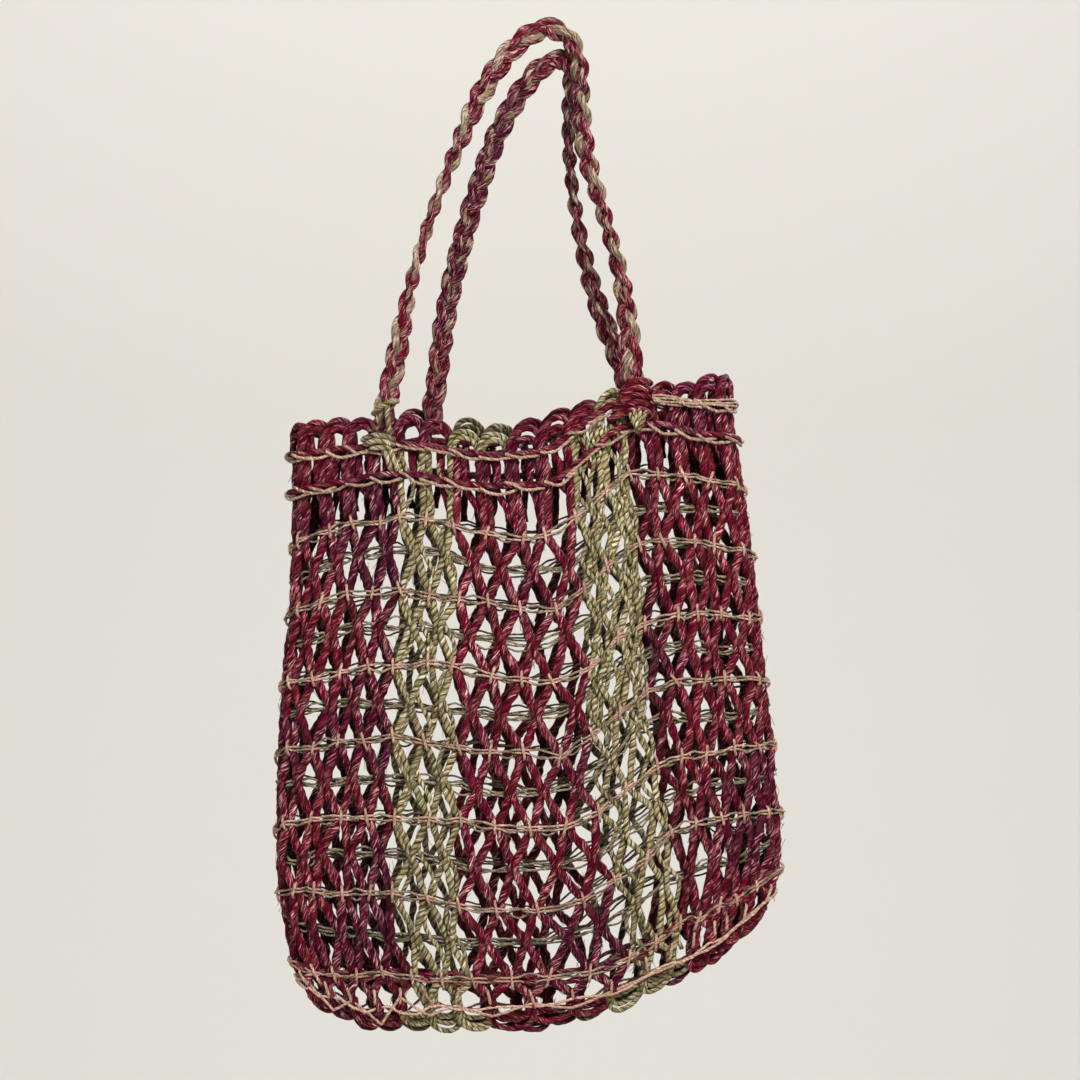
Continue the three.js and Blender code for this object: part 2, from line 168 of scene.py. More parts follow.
def waves(length, period, count):
    """Smooth random swings along each cord, the sum of two sines of unlike periods."""
    start = random.uniform(0, 2 * np.pi, (2, count, 1))
    turn = 2 * np.pi * length / period
    return FIRST_SHARE * np.sin(turn + start[0]) + SECOND_SHARE * np.sin(SECOND_RATE * turn + start[1])


def sweep(paths, outward, radius, plies, sides=CORD_SIDES, uneven=CORD_UNEVEN, shade=0.0):
    """Round cords along rows of points, of a radius in millimetres.

    The path and the thickness swing a little, by uneven millimetres and a share of it. plies holds a dye
    value for each of the cord's two plies. shade is painted shade: it darkens the colour of the side that
    faces away from outward, where less light reaches.
    """
    count, stations = paths.shape[:2]
    ahead = unit(np.gradient(paths, axis=1))
    thin = off_line(outward, ahead)
    wide = np.cross(ahead, thin)
    steps = np.linalg.norm(np.diff(paths, axis=1), axis=2)
    length = np.concatenate([np.zeros((count, 1)), np.cumsum(steps, axis=1)], axis=1)
    paths = paths + uneven * MM * waves(length, SIDE_PERIOD, count)[..., None] * wide
    paths = paths + uneven * MM * waves(length, FACE_PERIOD, count)[..., None] * thin
    swelling = 1 + THICKNESS_SHARE * uneven * waves(length, THICKNESS_PERIOD, count)
    radius = np.broadcast_to(radius * MM * swelling, (count, stations))
    angle = 2 * np.pi * np.arange(sides) / sides
    ring_arm = np.cos(angle)[:, None] * thin[:, :, None] + np.sin(angle)[:, None] * wide[:, :, None]
    # Each cord's random lightness, plus painted shade on the side that faces away from outward
    tone_and_shade = random.normal(0, 1, (count, 1, 1)) + shade * np.minimum(np.cos(angle), 0)
    return {
        "points": paths[:, :, None] + radius[..., None, None] * ring_arm,
        "length": length + random.uniform(0, LAY_START, (count, 1)),
        "plies": np.broadcast_to(plies, (count, stations, 2)),
        "tone_and_shade": np.broadcast_to(tone_and_shade, (count, stations, sides)),
    }


def on_wall(around, down, out, radius, plies, sides=CORD_SIDES, shade=0.0):
    """Round cords that lie on the bag's wall, at places round it and down it and at distances out from it."""
    points, outward = wall(np.atleast_2d(around), down, out)
    return sweep(points, outward, radius, plies, sides, shade=shade)


def join(name, sweeps, material, slot, *nodes):
    """One mesh of closed tubes from several sweeps, with its dyes, its random lightness and painted shade,
    and a map of turn and length.
    """
    points, corners, starts, maps, plies, tone_and_shade_parts = [], [], [], [], [], []
    first_point = 0
    first_corner = 0
    for cords in sweeps:
        count, stations, sides = cords["points"].shape[:3]
        index = first_point + np.arange(count * stations * sides).reshape(count, stations, sides)
        beside = np.roll(index, -1, axis=2)
        quads = np.stack([index[:, :-1], beside[:, :-1], beside[:, 1:], index[:, 1:]], axis=-1)
        caps = np.concatenate([index[:, 0, ::-1], index[:, -1]])
        turn = np.arange(sides + 1) / sides
        here, there = cords["length"][:, :-1, None], cords["length"][:, 1:, None]
        columns = [(turn[:-1], here), (turn[1:], here), (turn[1:], there), (turn[:-1], there)]
        shape = (count, stations - 1, sides)
        places = [np.broadcast_arrays(np.broadcast_to(u, shape), v) for u, v in columns]
        quad_map = np.stack([np.stack(place, axis=-1) for place in places], axis=-2)
        points.append(cords["points"].reshape(-1, 3))
        corners += [quads.ravel(), caps.ravel()]
        maps += [quad_map.reshape(-1, 2), np.zeros((caps.size, 2))]
        starts.append(first_corner + 4 * np.arange(quads.size // 4))
        starts.append(first_corner + quads.size + sides * np.arange(2 * count))
        plies.append(np.repeat(cords["plies"].reshape(-1, 2), sides, axis=0))
        tone_and_shade_parts.append(cords["tone_and_shade"].ravel())
        first_point += index.size
        first_corner += quads.size + caps.size
    points = np.concatenate(points)
    corners = np.concatenate(corners)
    starts = np.concatenate(starts)
    dyes = np.concatenate(plies).T
    mesh = bpy.data.meshes.new(name)
    mesh.vertices.add(len(points))
    mesh.vertices.foreach_set("co", points.ravel())
    mesh.loops.add(len(corners))
    mesh.loops.foreach_set("vertex_index", corners)
    mesh.polygons.add(len(starts))
    mesh.polygons.foreach_set("loop_start", starts)
    mesh.polygons.foreach_set("use_smooth", np.ones(len(starts), dtype=bool))
    mesh.update(calc_edges=True)
    layer = mesh.uv_layers.new(name="cord")
    layer.data.foreach_set("uv", np.concatenate(maps).ravel())
    for label, values in (("ply_one", dyes[0]), ("ply_two", dyes[1]), ("tone_and_shade", np.concatenate(tone_and_shade_parts))):
        attribute = mesh.attributes.new(label, "FLOAT", "POINT")
        attribute.data.foreach_set("value", np.ascontiguousarray(values))
    mesh.materials.append(material)
    piece = bpy.data.objects.new(name, mesh)
    bpy.context.scene.collection.objects.link(piece)
    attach(piece, "root")
    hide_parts(*nodes)
    return piece


# Materials


def add_node(tree, kind, inputs=None, **settings):
    """A node with its settings, its inputs linked or set."""
    node = tree.nodes.new(kind)
    for name, value in settings.items():
        setattr(node, name, value)
    for key, value in (inputs or {}).items():
        if isinstance(value, bpy.types.NodeSocket):
            tree.links.new(value, node.inputs[key])
        else:
            node.inputs[key].default_value = value
    return node


def math(tree, operation, *values):
    """The result of one sum on sockets or numbers."""
    inputs = dict(enumerate(values))
    return add_node(tree, "ShaderNodeMath", inputs, operation=operation).outputs[0]


def blend(tree, share, start, end, blend_type="MIX"):
    """A colour between two, or one laid over the other."""
    node = add_node(tree, "ShaderNodeMix", data_type="RGBA", blend_type=blend_type)
    for key, value in (("Factor_Float", share), ("A_Color", start), ("B_Color", end)):
        socket = next(s for s in node.inputs if s.identifier == key)
        if isinstance(value, bpy.types.NodeSocket):
            tree.links.new(value, socket)
        else:
            socket.default_value = value
    return next(s for s in node.outputs if s.identifier == "Result_Color")


def ramp(tree, value, low, high):
    """A value carried from the range low to high onto 0 to 1, and held there."""
    inputs = {"Value": value, "From Min": low, "From Max": high}
    return add_node(tree, "ShaderNodeMapRange", inputs).outputs[0]


# The noises on a cord: its scale round the cord, its scale for each metre along it, and its detail
STREAK_NOISE = (3.4, 210.0, 2.0)
UNEVEN_NOISE = (0.5, 40.0, 1.0)
NOISE_RANGE = (0.3, 0.7)
PATCH_SCALE, PATCH_DETAIL = 11.0, 2.0
PATCH_RANGE = (0.45, 0.68)
# Painted shade in the crevice between the plies: the doubled cosine of the ply angle over which it grows from
# none to full
GROOVE_SHADE_RANGE = (0.1, -0.95)
PLY_RELIEF, STREAK_RELIEF = 0.4, 0.5
RELIEF_DEPTH = 0.0008
BODY_STREAKS = (0.1, 0.8)
GLINT_UNEVEN = (0.1, 0.9)
TONE_AND_SHADE_SHARE = 0.12
LEAST_LEVEL = 0.12
UNEVEN_LEVELS = (0.75, 1.25)
CORD_ROUGHNESS = 0.4
CORD_SPECULAR = 0.05


def fibre_group():
    """Node group of a cord of two plies laid in a right-handed helix.

    It takes the turns of the lay for each metre, and gives the fibre streaks along the plies, the painted
    shade in the crevice between them, which ply shows, how uneven the dye is along the cord, patches over the
    whole bag, and the relief.
    """
    tree = bpy.data.node_groups.new("cord_fibre", "ShaderNodeTree")
    tree.interface.new_socket("Turns", in_out="INPUT", socket_type="NodeSocketFloat")
    for name in ("Streak", "GrooveShade", "Ply", "Uneven", "Patch", "Height"):
        tree.interface.new_socket(name, in_out="OUTPUT", socket_type="NodeSocketFloat")
    start = tree.nodes.new("NodeGroupInput")
    end = tree.nodes.new("NodeGroupOutput")
    place = add_node(tree, "ShaderNodeUVMap", uv_map="cord").outputs[0]
    split = add_node(tree, "ShaderNodeSeparateXYZ", {0: place})
    along = split.outputs[1]
    turned = math(tree, "SUBTRACT", split.outputs[0], math(tree, "MULTIPLY", along, start.outputs[0]))
    angle = math(tree, "MULTIPLY", turned, 2 * np.pi)
    cosine = math(tree, "COSINE", angle)
    sine = math(tree, "SINE", angle)
    noises = []
    for across_scale, along_scale, detail in (STREAK_NOISE, UNEVEN_NOISE):
        scaled = {
            0: math(tree, "MULTIPLY", cosine, across_scale),
            1: math(tree, "MULTIPLY", sine, across_scale),
            2: math(tree, "MULTIPLY", along, along_scale),
        }
        vector = add_node(tree, "ShaderNodeCombineXYZ", scaled).outputs[0]
        noise = add_node(tree, "ShaderNodeTexNoise", {"Vector": vector, "Scale": 1.0, "Detail": detail})
        noises.append(ramp(tree, noise.outputs[0], *NOISE_RANGE))
    streak, uneven = noises
    where = add_node(tree, "ShaderNodeTexCoord").outputs["Object"]
    patchy = {"Vector": where, "Scale": PATCH_SCALE, "Detail": PATCH_DETAIL}
    patch = ramp(tree, add_node(tree, "ShaderNodeTexNoise", patchy).outputs[0], *PATCH_RANGE)
    double = math(tree, "COSINE", math(tree, "MULTIPLY", angle, 2))
    groove_shade = ramp(tree, double, *GROOVE_SHADE_RANGE)
    relief = math(tree, "MULTIPLY_ADD", double, PLY_RELIEF, math(tree, "MULTIPLY", streak, STREAK_RELIEF))
    ply = math(tree, "GREATER_THAN", cosine, 0)
    outputs = (streak, groove_shade, ply, uneven, patch, relief)
    for socket, value in zip(end.inputs, outputs):
        tree.links.new(value, socket)
    return tree


FIBRE = fibre_group()


def colour(red, green, blue):
    """Linear colour with full alpha."""
    return (red, green, blue, 1.0)


def cord_material(name, first, second, lay, groove_shade_depth, shine):
    """Twisted cord of a lay in metres.

    Each ply takes the first or second dye, in dark, body and glint colours streaked by fibre, and its body
    turns to the patch colour in places. The glints are painted highlights, and the crevice between the plies
    is painted towards the dark colour as shade. shine is the streak value at which the glints begin.
    """
    material = bpy.data.materials.new(name)
    material.use_nodes = True
    tree = material.node_tree
    shader = tree.nodes["Principled BSDF"]
    fibre = tree.nodes.new("ShaderNodeGroup")
    fibre.node_tree = FIBRE
    fibre.inputs["Turns"].default_value = 1 / lay
    dyes = [add_node(tree, "ShaderNodeAttribute", attribute_name=label) for label in ("ply_one", "ply_two")]
    tone_and_shade = add_node(tree, "ShaderNodeAttribute", attribute_name="tone_and_shade").outputs["Fac"]
    which = fibre.outputs["Ply"]
    difference = math(tree, "SUBTRACT", dyes[1].outputs["Fac"], dyes[0].outputs["Fac"])
    share = math(tree, "MULTIPLY_ADD", difference, which, dyes[0].outputs["Fac"])
    dark, body, bright, other = (blend(tree, share, *pair) for pair in zip(first, second))
    streak = fibre.outputs["Streak"]
    uneven = fibre.outputs["Uneven"]
    body = blend(tree, fibre.outputs["Patch"], body, other)
    base = blend(tree, ramp(tree, streak, *BODY_STREAKS), dark, body)
    # Painted highlight: pale glints on the brightest fibre streaks, more where the slow noise along the cord
    # is high
    glint = math(tree, "MULTIPLY", ramp(tree, streak, shine, 1.0), ramp(tree, uneven, *GLINT_UNEVEN))
    base = blend(tree, glint, base, bright)
    # Painted shade: the crevice between the plies is darkened towards the dark colour
    groove_shade = math(tree, "MULTIPLY", fibre.outputs["GrooveShade"], groove_shade_depth)
    base = blend(tree, groove_shade, base, dark, "MULTIPLY")
    low, high = UNEVEN_LEVELS
    # The colour is scaled by each cord's random lightness with its painted shade, and by how uneven the dye
    # is along it
    level = math(tree, "MULTIPLY_ADD", tone_and_shade, TONE_AND_SHADE_SHARE, math(tree, "MULTIPLY_ADD", uneven, high - low, low))
    level = math(tree, "MAXIMUM", level, LEAST_LEVEL)
    base = add_node(tree, "ShaderNodeVectorMath", {0: base, 1: level}, operation="MULTIPLY").outputs[0]
    tree.links.new(base, shader.inputs["Base Color"])
    relief = {"Height": fibre.outputs["Height"], "Strength": 1.0, "Distance": RELIEF_DEPTH}
    bump = add_node(tree, "ShaderNodeBump", relief)
    tree.links.new(bump.outputs[0], shader.inputs["Normal"])
    shader.inputs["Roughness"].default_value = CORD_ROUGHNESS
    shader.inputs["Specular IOR Level"].default_value = CORD_SPECULAR
    return material


def dye(*colours):
    """The dark, body, glint and patch colours of a dye; the glint colour is a painted highlight."""
    return [colour(*parts) for parts in colours]


# The glint colour of each dye is a painted highlight; its dark colour also paints the shade between the plies
BURGUNDY = dye((0.03, 0.001, 0.005), (0.25, 0.004, 0.032), (0.98, 0.58, 0.57), (0.13, 0.005, 0.042))
NATURAL = dye((0.06, 0.045, 0.014), (0.62, 0.52, 0.24), (1.0, 0.96, 0.78), (0.52, 0.39, 0.2))
BEIGE = dye((0.12, 0.06, 0.03), (0.7, 0.5, 0.36), (1.0, 0.88, 0.76), (0.52, 0.44, 0.24))
PINK_TAN = dye((0.5, 0.25, 0.17), (0.96, 0.65, 0.51), (1.0, 0.93, 0.86), (0.85, 0.62, 0.45))
GREY_OLIVE = dye((0.12, 0.1, 0.055), (0.5, 0.42, 0.28), (0.92, 0.84, 0.66), (0.36, 0.32, 0.24))

# Each cord's two dyes, its lay in metres, the depth of the painted shade in the crevice between its plies and
# where its painted highlight glints begin
NET_CORD = cord_material("net_cord", BURGUNDY, NATURAL, 0.024, 0.5, 0.62)
RIM_CORD = cord_material("rim_cord", BURGUNDY, NATURAL, 0.02, 0.5, 0.68)
BORDER_CORD = cord_material("border_cord", BURGUNDY, NATURAL, 0.02, 0.5, 0.68)
NATURAL_CORD = cord_material("natural_cord", BURGUNDY, NATURAL, 0.0095, 0.8, 0.45)
LASHING_CORD = cord_material("lashing_cord", BURGUNDY, NATURAL, 0.011, 0.6, 0.4)
HANDLE_BRAID = cord_material("handle_braid", BURGUNDY, BEIGE, 0.018, 0.4, 0.52)
TWINE = cord_material("twine", PINK_TAN, GREY_OLIVE, 0.006, 0.45, 0.6)


# The net of upright cords

PAIRS = 36
WARPS = 2 * PAIRS
RIM_ROW = 0.062
FIRST_ROW = 0.148
ROW_STEP = 0.064
FREE_ROWS = 13
LACE_ROW = 0.945
NET_END = 0.962
ROWS = np.concatenate([[0.0, RIM_ROW], FIRST_ROW + ROW_STEP * np.arange(FREE_ROWS), [LACE_ROW, NET_END]])
# A row binds the cords two and two: 0 where the pairs are bound on the inside, 1 where they are shifted
# by one cord and bound on the outside
SHIFTED = np.concatenate([[1, 1], (np.arange(FREE_ROWS) + 1) % 2, [0, 0]])
STATIONS = 10
BURGUNDY_RADIUS = 3.3
NATURAL_RADIUS = 2.4
WARP_UNEVEN = 0.4
PAIR_SPREAD = np.array([1.5, 2.1])
PAIR_DEPTH = np.array([1.4, 0.0])
LEFT_STRIPE = np.arange(10, 14)
RIGHT_STRIPE = np.arange(22, 26)
STRIPES = np.concatenate([LEFT_STRIPE, RIGHT_STRIPE, WARPS - 1 - LEFT_STRIPE, WARPS - 1 - RIGHT_STRIPE])
# The filling cords of a stripe. Columns: stripe, low end, count, swing to each side as a share of the girth
FILLINGS = [(RIGHT_STRIPE, 0.55, 6, 0.0045), (RIGHT_STRIPE, 0.95, 2, 0.008), (LEFT_STRIPE, 0.95, 3, 0.007)]
FILLING_PERIOD = 0.128
FILLING_RADIUS = 1.6
FILLING_MARGIN = 0.6
FILLING_OUT, FILLING_WAVE = 0.4, 1.6
FILLING_STATIONS = 150
TUCK_DEPTH, TUCK_LENGTH = 3.0, 0.06
FIBRE_RADIUS = 0.2
FIBRE_SIDES = 3
FIBRE_LENGTHS = (3, 8)
FIBRE_TURN, FIBRE_ANGLE, FIBRE_BEND = 2.2, 0.65, 0.25
FIBRE_ROOT = 0.95
FIBRE_STATIONS, FIBRE_FREE_ENDS = 4, 2
BURGUNDY_FIBRES, NATURAL_FIBRES = 4200, 1500
# Painted shade: how strongly the cords' sides that face into the bag are darkened in their colour
INNER_SHADE = 5.0
LEAN = 0.034
LEAN_CENTRE = 0.33
LEAN_REACH = 0.15
LEAN_FADE = (0.5, 1.0)
MIDDLE_SPREAD = 0.16
# How far the rows stand above the wall's own level lines across the front, in millimetres: they climb
# steeply under the right handle, where the bag is drawn up. Columns: around, lift; and then down, share.
HANG = np.array([
    (0.0, -12), (0.04, -1), (0.09, 6), (0.15, 7), (0.21, 0), (0.29, -6),
    (0.335, 5), (0.37, 17), (0.41, 15), (0.46, 3), (0.5, -9),
])
HANG_LEVELS = np.array([(0.0, 0.0), (0.062, 0.35), (0.148, 1.0), (0.8, 1.0), (0.945, 0.2), (0.962, 0.0)])
# The same for the rim's two level rows
RIM_HANG = np.array([
    (0.0, 0), (0.15, 0), (0.21, 3), (0.25, 5), (0.29, 1),
    (0.325, 6), (0.36, 11), (0.41, 10), (0.45, 4), (0.5, 0),
])
RIM_HANG_LEVELS = np.array([(0.0, 1.0), (0.062, 0.9), (0.148, 0.0)])
# The same for the bottom edge
BOTTOM_HANG = np.array([
    (0.0, -5), (0.06, -5), (0.12, 1), (0.18, 2), (0.25, -2), (0.29, -6), (0.34, -2), (0.4, -4), (0.5, -4),
])
BOTTOM_HANG_LEVELS = np.array([(0.86, 0.0), (0.945, 1.0)])
HANGS = ((HANG, HANG_LEVELS), (RIM_HANG, RIM_HANG_LEVELS), (BOTTOM_HANG, BOTTOM_HANG_LEVELS))
# How much less the rim's and the border's rows stray than the free ones, and the rows' slow and chance
# strays round the bag and down it
BOUND_STRAY = 0.3
SLOW_SWAY, CHANCE_SWAY = 0.0018, 0.002
SLOW_DROOP, CHANCE_DROOP = 0.004, 0.0042
# How far the back's cords stand off from behind the front's: where each side's part fades, the right
# side's share, the left stripe's share, place and width, the lower half's share and fade, and the least
LEFT_FADE, RIGHT_FADE, RIGHT_SHARE = (0.03, 0.07), (0.42, 0.46), 0.8
STRIPE_SHARE, STRIPE_PLACE, STRIPE_WIDTH = 0.6, 0.155, 0.03
LOW_SHARE, LOW_FADE, LEAST_SHIFT = 0.75, (0.5, 0.68), 0.35
SIDE_ROOM = 0.03
# A cord stands upright for UPRIGHT of the way at each row, then slants with EASED of its slant rounded
UPRIGHT, EASED = 0.08, 0.35
DEPTH_STRAY = 0.35
PINCH, PINCH_REACH = 0.2, 0.22
THICKNESS_STRAY = 0.05


def smooth_step(value, low, high):
    """0 below low, 1 above high, eased between."""
    share = np.clip((value - low) / (high - low), 0, 1)
    return share**2 * (3 - 2 * share)


def spread(around):
    """Places round the bag drawn apart in the middle of each face and together at its sides, by a sine."""
    return around - MIDDLE_SPREAD / (4 * np.pi) * np.sin(4 * np.pi * around)


def from_left(around):
    """Distance round the bag from its left side, over the front or the back."""
    whole = around % 1
    return np.minimum(whole, 1 - whole)


def hang_lift(around, down):
    """How far a row stands above the wall's own level line, as a share of the drop, alike front and back."""
    across = from_left(around)
    return sum(hermite(*hang.T, across) * np.interp(down, *levels.T) for hang, levels in HANGS) / DROP


def lean(around, down):
    """How far the cords drift to the right low on the front's right half, as a share of the girth."""
    near = np.maximum(1 - ((around - LEAN_CENTRE) / LEAN_REACH) ** 2, 0) ** 2
    return LEAN * near * smooth_step(down, *LEAN_FADE)


def back_shift(around, down):
    """How far the back's cords stand off from behind the front's, from 0 to 1.

    They do so towards the sides, low down and behind the left stripe, and stand nearly behind the
    front's in the upper middle.
    """
    across = 1 - around
    beside = 1 - smooth_step(across, *LEFT_FADE) + RIGHT_SHARE * smooth_step(across, *RIGHT_FADE)
    behind_stripe = STRIPE_SHARE * np.exp(-(((across - STRIPE_PLACE) / STRIPE_WIDTH) ** 2))
    low = LOW_SHARE * smooth_step(down, *LOW_FADE)
    shift = np.maximum(np.maximum(beside, behind_stripe), np.maximum(low, LEAST_SHIFT))
    return shift * smooth_step(np.minimum(across, 0.5 - across), 0.0, SIDE_ROOM)


def row_places():
    """Where each row binds its pairs, around and down, for rows by pairs, the first pair again at the end.

    The pairs are evenly spaced, then stray by slow sines and by chance, hang, shift on the back and lean.
    """
    pair = np.arange(PAIRS + 1)
    around = spread((pair + 0.5 * (1 - SHIFTED[:, None])) / PAIRS)
    wave = random.uniform(0, 2 * np.pi, (len(ROWS), 2, 1))
    loose = np.where((ROWS > RIM_ROW) & (ROWS < LACE_ROW), 1.0, BOUND_STRAY)[:, None]
    sway = SLOW_SWAY * np.sin(4 * np.pi * around + wave[:, 0])
    droop = SLOW_DROOP * np.sin(6 * np.pi * around + wave[:, 1])
    sway = sway + random.normal(0, CHANCE_SWAY, around.shape)
    droop = droop + random.normal(0, CHANCE_DROOP, around.shape)
    sway[:, -1] = sway[:, 0]
    droop[:, -1] = droop[:, 0]
    down = ROWS[:, None] + loose * droop - hang_lift(around, ROWS[:, None])
    around = around + loose * sway + 0.5 * loose * back_shift(around, down) / PAIRS
    return around + lean(around, down), down


PLACE_AROUND, PLACE_DOWN = row_places()


def warp_paths(warps):
    """Paths of upright cords.

    Each cord runs from row to row, with its down straight from one bound pair to the next and its
    around eased between them, so that it stands upright in a pair and slants between the rows.
    """
    row = np.arange(len(ROWS))[:, None]
    pair = np.where(SHIFTED[:, None] == 1, (warps + 1) // 2, warps // 2)
    right = np.where(SHIFTED[:, None] == 1, warps % 2 == 0, warps % 2 == 1)
    hand = np.where(right, 1.0, -1.0)
    down = PLACE_DOWN[row, pair]
    around = PLACE_AROUND[row, pair] + hand * PAIR_SPREAD[SHIFTED][:, None] / girth(down)
    depth = hand * PAIR_DEPTH[SHIFTED][:, None] + random.normal(0, DEPTH_STRAY, down.shape)
    share = np.linspace(0, 1, STATIONS, endpoint=False)
    place = np.concatenate([(np.arange(len(ROWS) - 1)[:, None] + share).ravel(), [len(ROWS) - 1]])
    low = np.minimum(place.astype(int), len(ROWS) - 2)
    part = (place - low)[:, None]
    slant = np.clip((part - UPRIGHT) / (1 - 2 * UPRIGHT), 0, 1)
    eased = (1 - EASED) * slant + EASED * smooth_step(slant, 0, 1)
    around = around[low] + eased * (around[low + 1] - around[low])
    down = down[low] + part * (down[low + 1] - down[low])
    depth = depth[low] + eased * (depth[low + 1] - depth[low])
    points, outward = wall(around, down, depth)
    bound = np.minimum(part, 1 - part) / PINCH_REACH
    pinch = 1 - PINCH * np.exp(-(bound**2))
    return points.swapaxes(0, 1), outward.swapaxes(0, 1), np.broadcast_to(pinch, down.shape).T


def warp_sweep(warps, radius, plies):
    """The upright cords with these numbers, drawn in where a row binds them."""
    points, outward, pinch = warp_paths(warps)
    thickness = radius * random.normal(1, THICKNESS_STRAY, (len(warps), 1)) * pinch
    return sweep(points, outward, thickness, plies, uneven=WARP_UNEVEN, shade=INNER_SHADE)


def stripe_filling(stripe, low, count, swing):
    """More natural cords in a stripe, from the rim to a low end.

    They are evenly spaced across it and swing to and fro by a sine, so that they cross each other.
    """
    seams = np.linspace(stripe[0] + FILLING_MARGIN, stripe[-1] + 1 - FILLING_MARGIN, count)
    down = np.linspace(0.0, low, FILLING_STATIONS)
    wave = random.uniform(0, 2 * np.pi, (len(seams), 1))
    turn = 2 * np.pi * down / FILLING_PERIOD + wave
    around = spread(seams[:, None] / WARPS) + swing * np.sin(turn)
    around = around + lean(around, down)
    tuck = TUCK_DEPTH * smooth_step(down, low - TUCK_LENGTH, low)
    depth = FILLING_OUT + FILLING_WAVE * np.cos(turn) - tuck
    return on_wall(around, down, depth, FILLING_RADIUS, (1.0, 1.0), shade=INNER_SHADE)


def loose_fibres(warps, radius, count, plies):
    """Short fibres along the upright cords: each leaves its cord at a small angle and bends by a parabola."""
    points, outward, _ = warp_paths(warps)
    ahead = unit(np.gradient(points, axis=1))
    cord = random.integers(0, points.shape[0], count)
    station = random.integers(FIBRE_FREE_ENDS, points.shape[1] - FIBRE_FREE_ENDS, count)
    start, along, out = (rows[cord, station] for rows in (points, ahead, outward))
    beside = np.cross(along, out)
    turn = random.uniform(-FIBRE_TURN, FIBRE_TURN, (count, 1))
    off = np.cos(turn) * out + np.sin(turn) * beside
    way = random.choice([-1.0, 1.0], (count, 1))
    angle = random.uniform(0.0, FIBRE_ANGLE, (count, 1)) ** 2
    heading = unit(way * along + angle * off)
    bend = off_line(random.normal(0, 1, (count, 3)), heading)
    length = random.uniform(*FIBRE_LENGTHS, (count, 1, 1)) * MM
    share = np.linspace(0, 1, FIBRE_STATIONS)[:, None]
    paths = (start + FIBRE_ROOT * radius * MM * off)[:, None] + length * share * heading[:, None]
    paths = paths + FIBRE_BEND * length * share**2 * bend[:, None]
    return sweep(paths, np.broadcast_to(off[:, None], paths.shape), FIBRE_RADIUS, plies, FIBRE_SIDES, 0.0)


burgundy_warps = np.setdiff1d(np.arange(WARPS), STRIPES)
natural_warps = np.sort(STRIPES)
front_cords = warp_sweep(burgundy_warps[burgundy_warps < PAIRS], BURGUNDY_RADIUS, (0.0, 0.03))
front_net = join("net_front", [front_cords], NET_CORD, "net_cord", "net_body")
back_cords = warp_sweep(burgundy_warps[burgundy_warps >= PAIRS], BURGUNDY_RADIUS, (0.0, 0.03))
back_net = join("net_back", [back_cords], NET_CORD, "net_cord", "net_body")
stripe_sweeps = [warp_sweep(natural_warps, NATURAL_RADIUS, (1.0, 0.97))]
stripe_sweeps += [stripe_filling(*row) for row in FILLINGS]
stripes = join("net_stripes", stripe_sweeps, NATURAL_CORD, "natural_cord", "net_body")
fibre_sweeps = [
    loose_fibres(burgundy_warps, BURGUNDY_RADIUS, BURGUNDY_FIBRES, (0.05, 0.5)),
    loose_fibres(natural_warps, NATURAL_RADIUS, NATURAL_FIBRES, (1.0, 1.0)),
]
fibres = join("net_fibres", fibre_sweeps, NET_CORD, "net_cord", "net_body")


# The rows of twine

TWINE_RADIUS = 0.8
PAIR_STATIONS = 14
BUNDLE_TURNS = 0.6
BUNDLE_REACH = 0.8
SIDE_SLACK, SIDE_REACH = 3.5, 0.02
PINK_RATE, PINK_POWER = 1.25, 0.7
OLIVE_DYE = 0.9
# Each strand of a row, in millimetres, for rows bound on the outside and on the inside. Columns: out from
# the wall at a pair and in a gap, lift at a pair and in a gap
OUTSIDE_STRANDS = [(4.1, 1.2, 0.9, 0.8), (3.8, 0.8, -1.0, -1.4), (-3.9, 0.6, -1.0, -3.0)]
INSIDE_STRANDS = [(-3.9, 0.8, 1.6, 2.0), (-4.1, 0.0, 0.0, 0.0), (-3.9, 0.3, -1.6, -2.2)]
FIRST_ROW_INDEX = 2
TWINE_ROWS = np.arange(FIRST_ROW_INDEX, FIRST_ROW_INDEX + FREE_ROWS)


def between_pairs(pair, values):
    """Values that are given at the pairs, at places between them along straight lines."""
    return np.interp(pair, np.arange(PAIRS + 1), values)


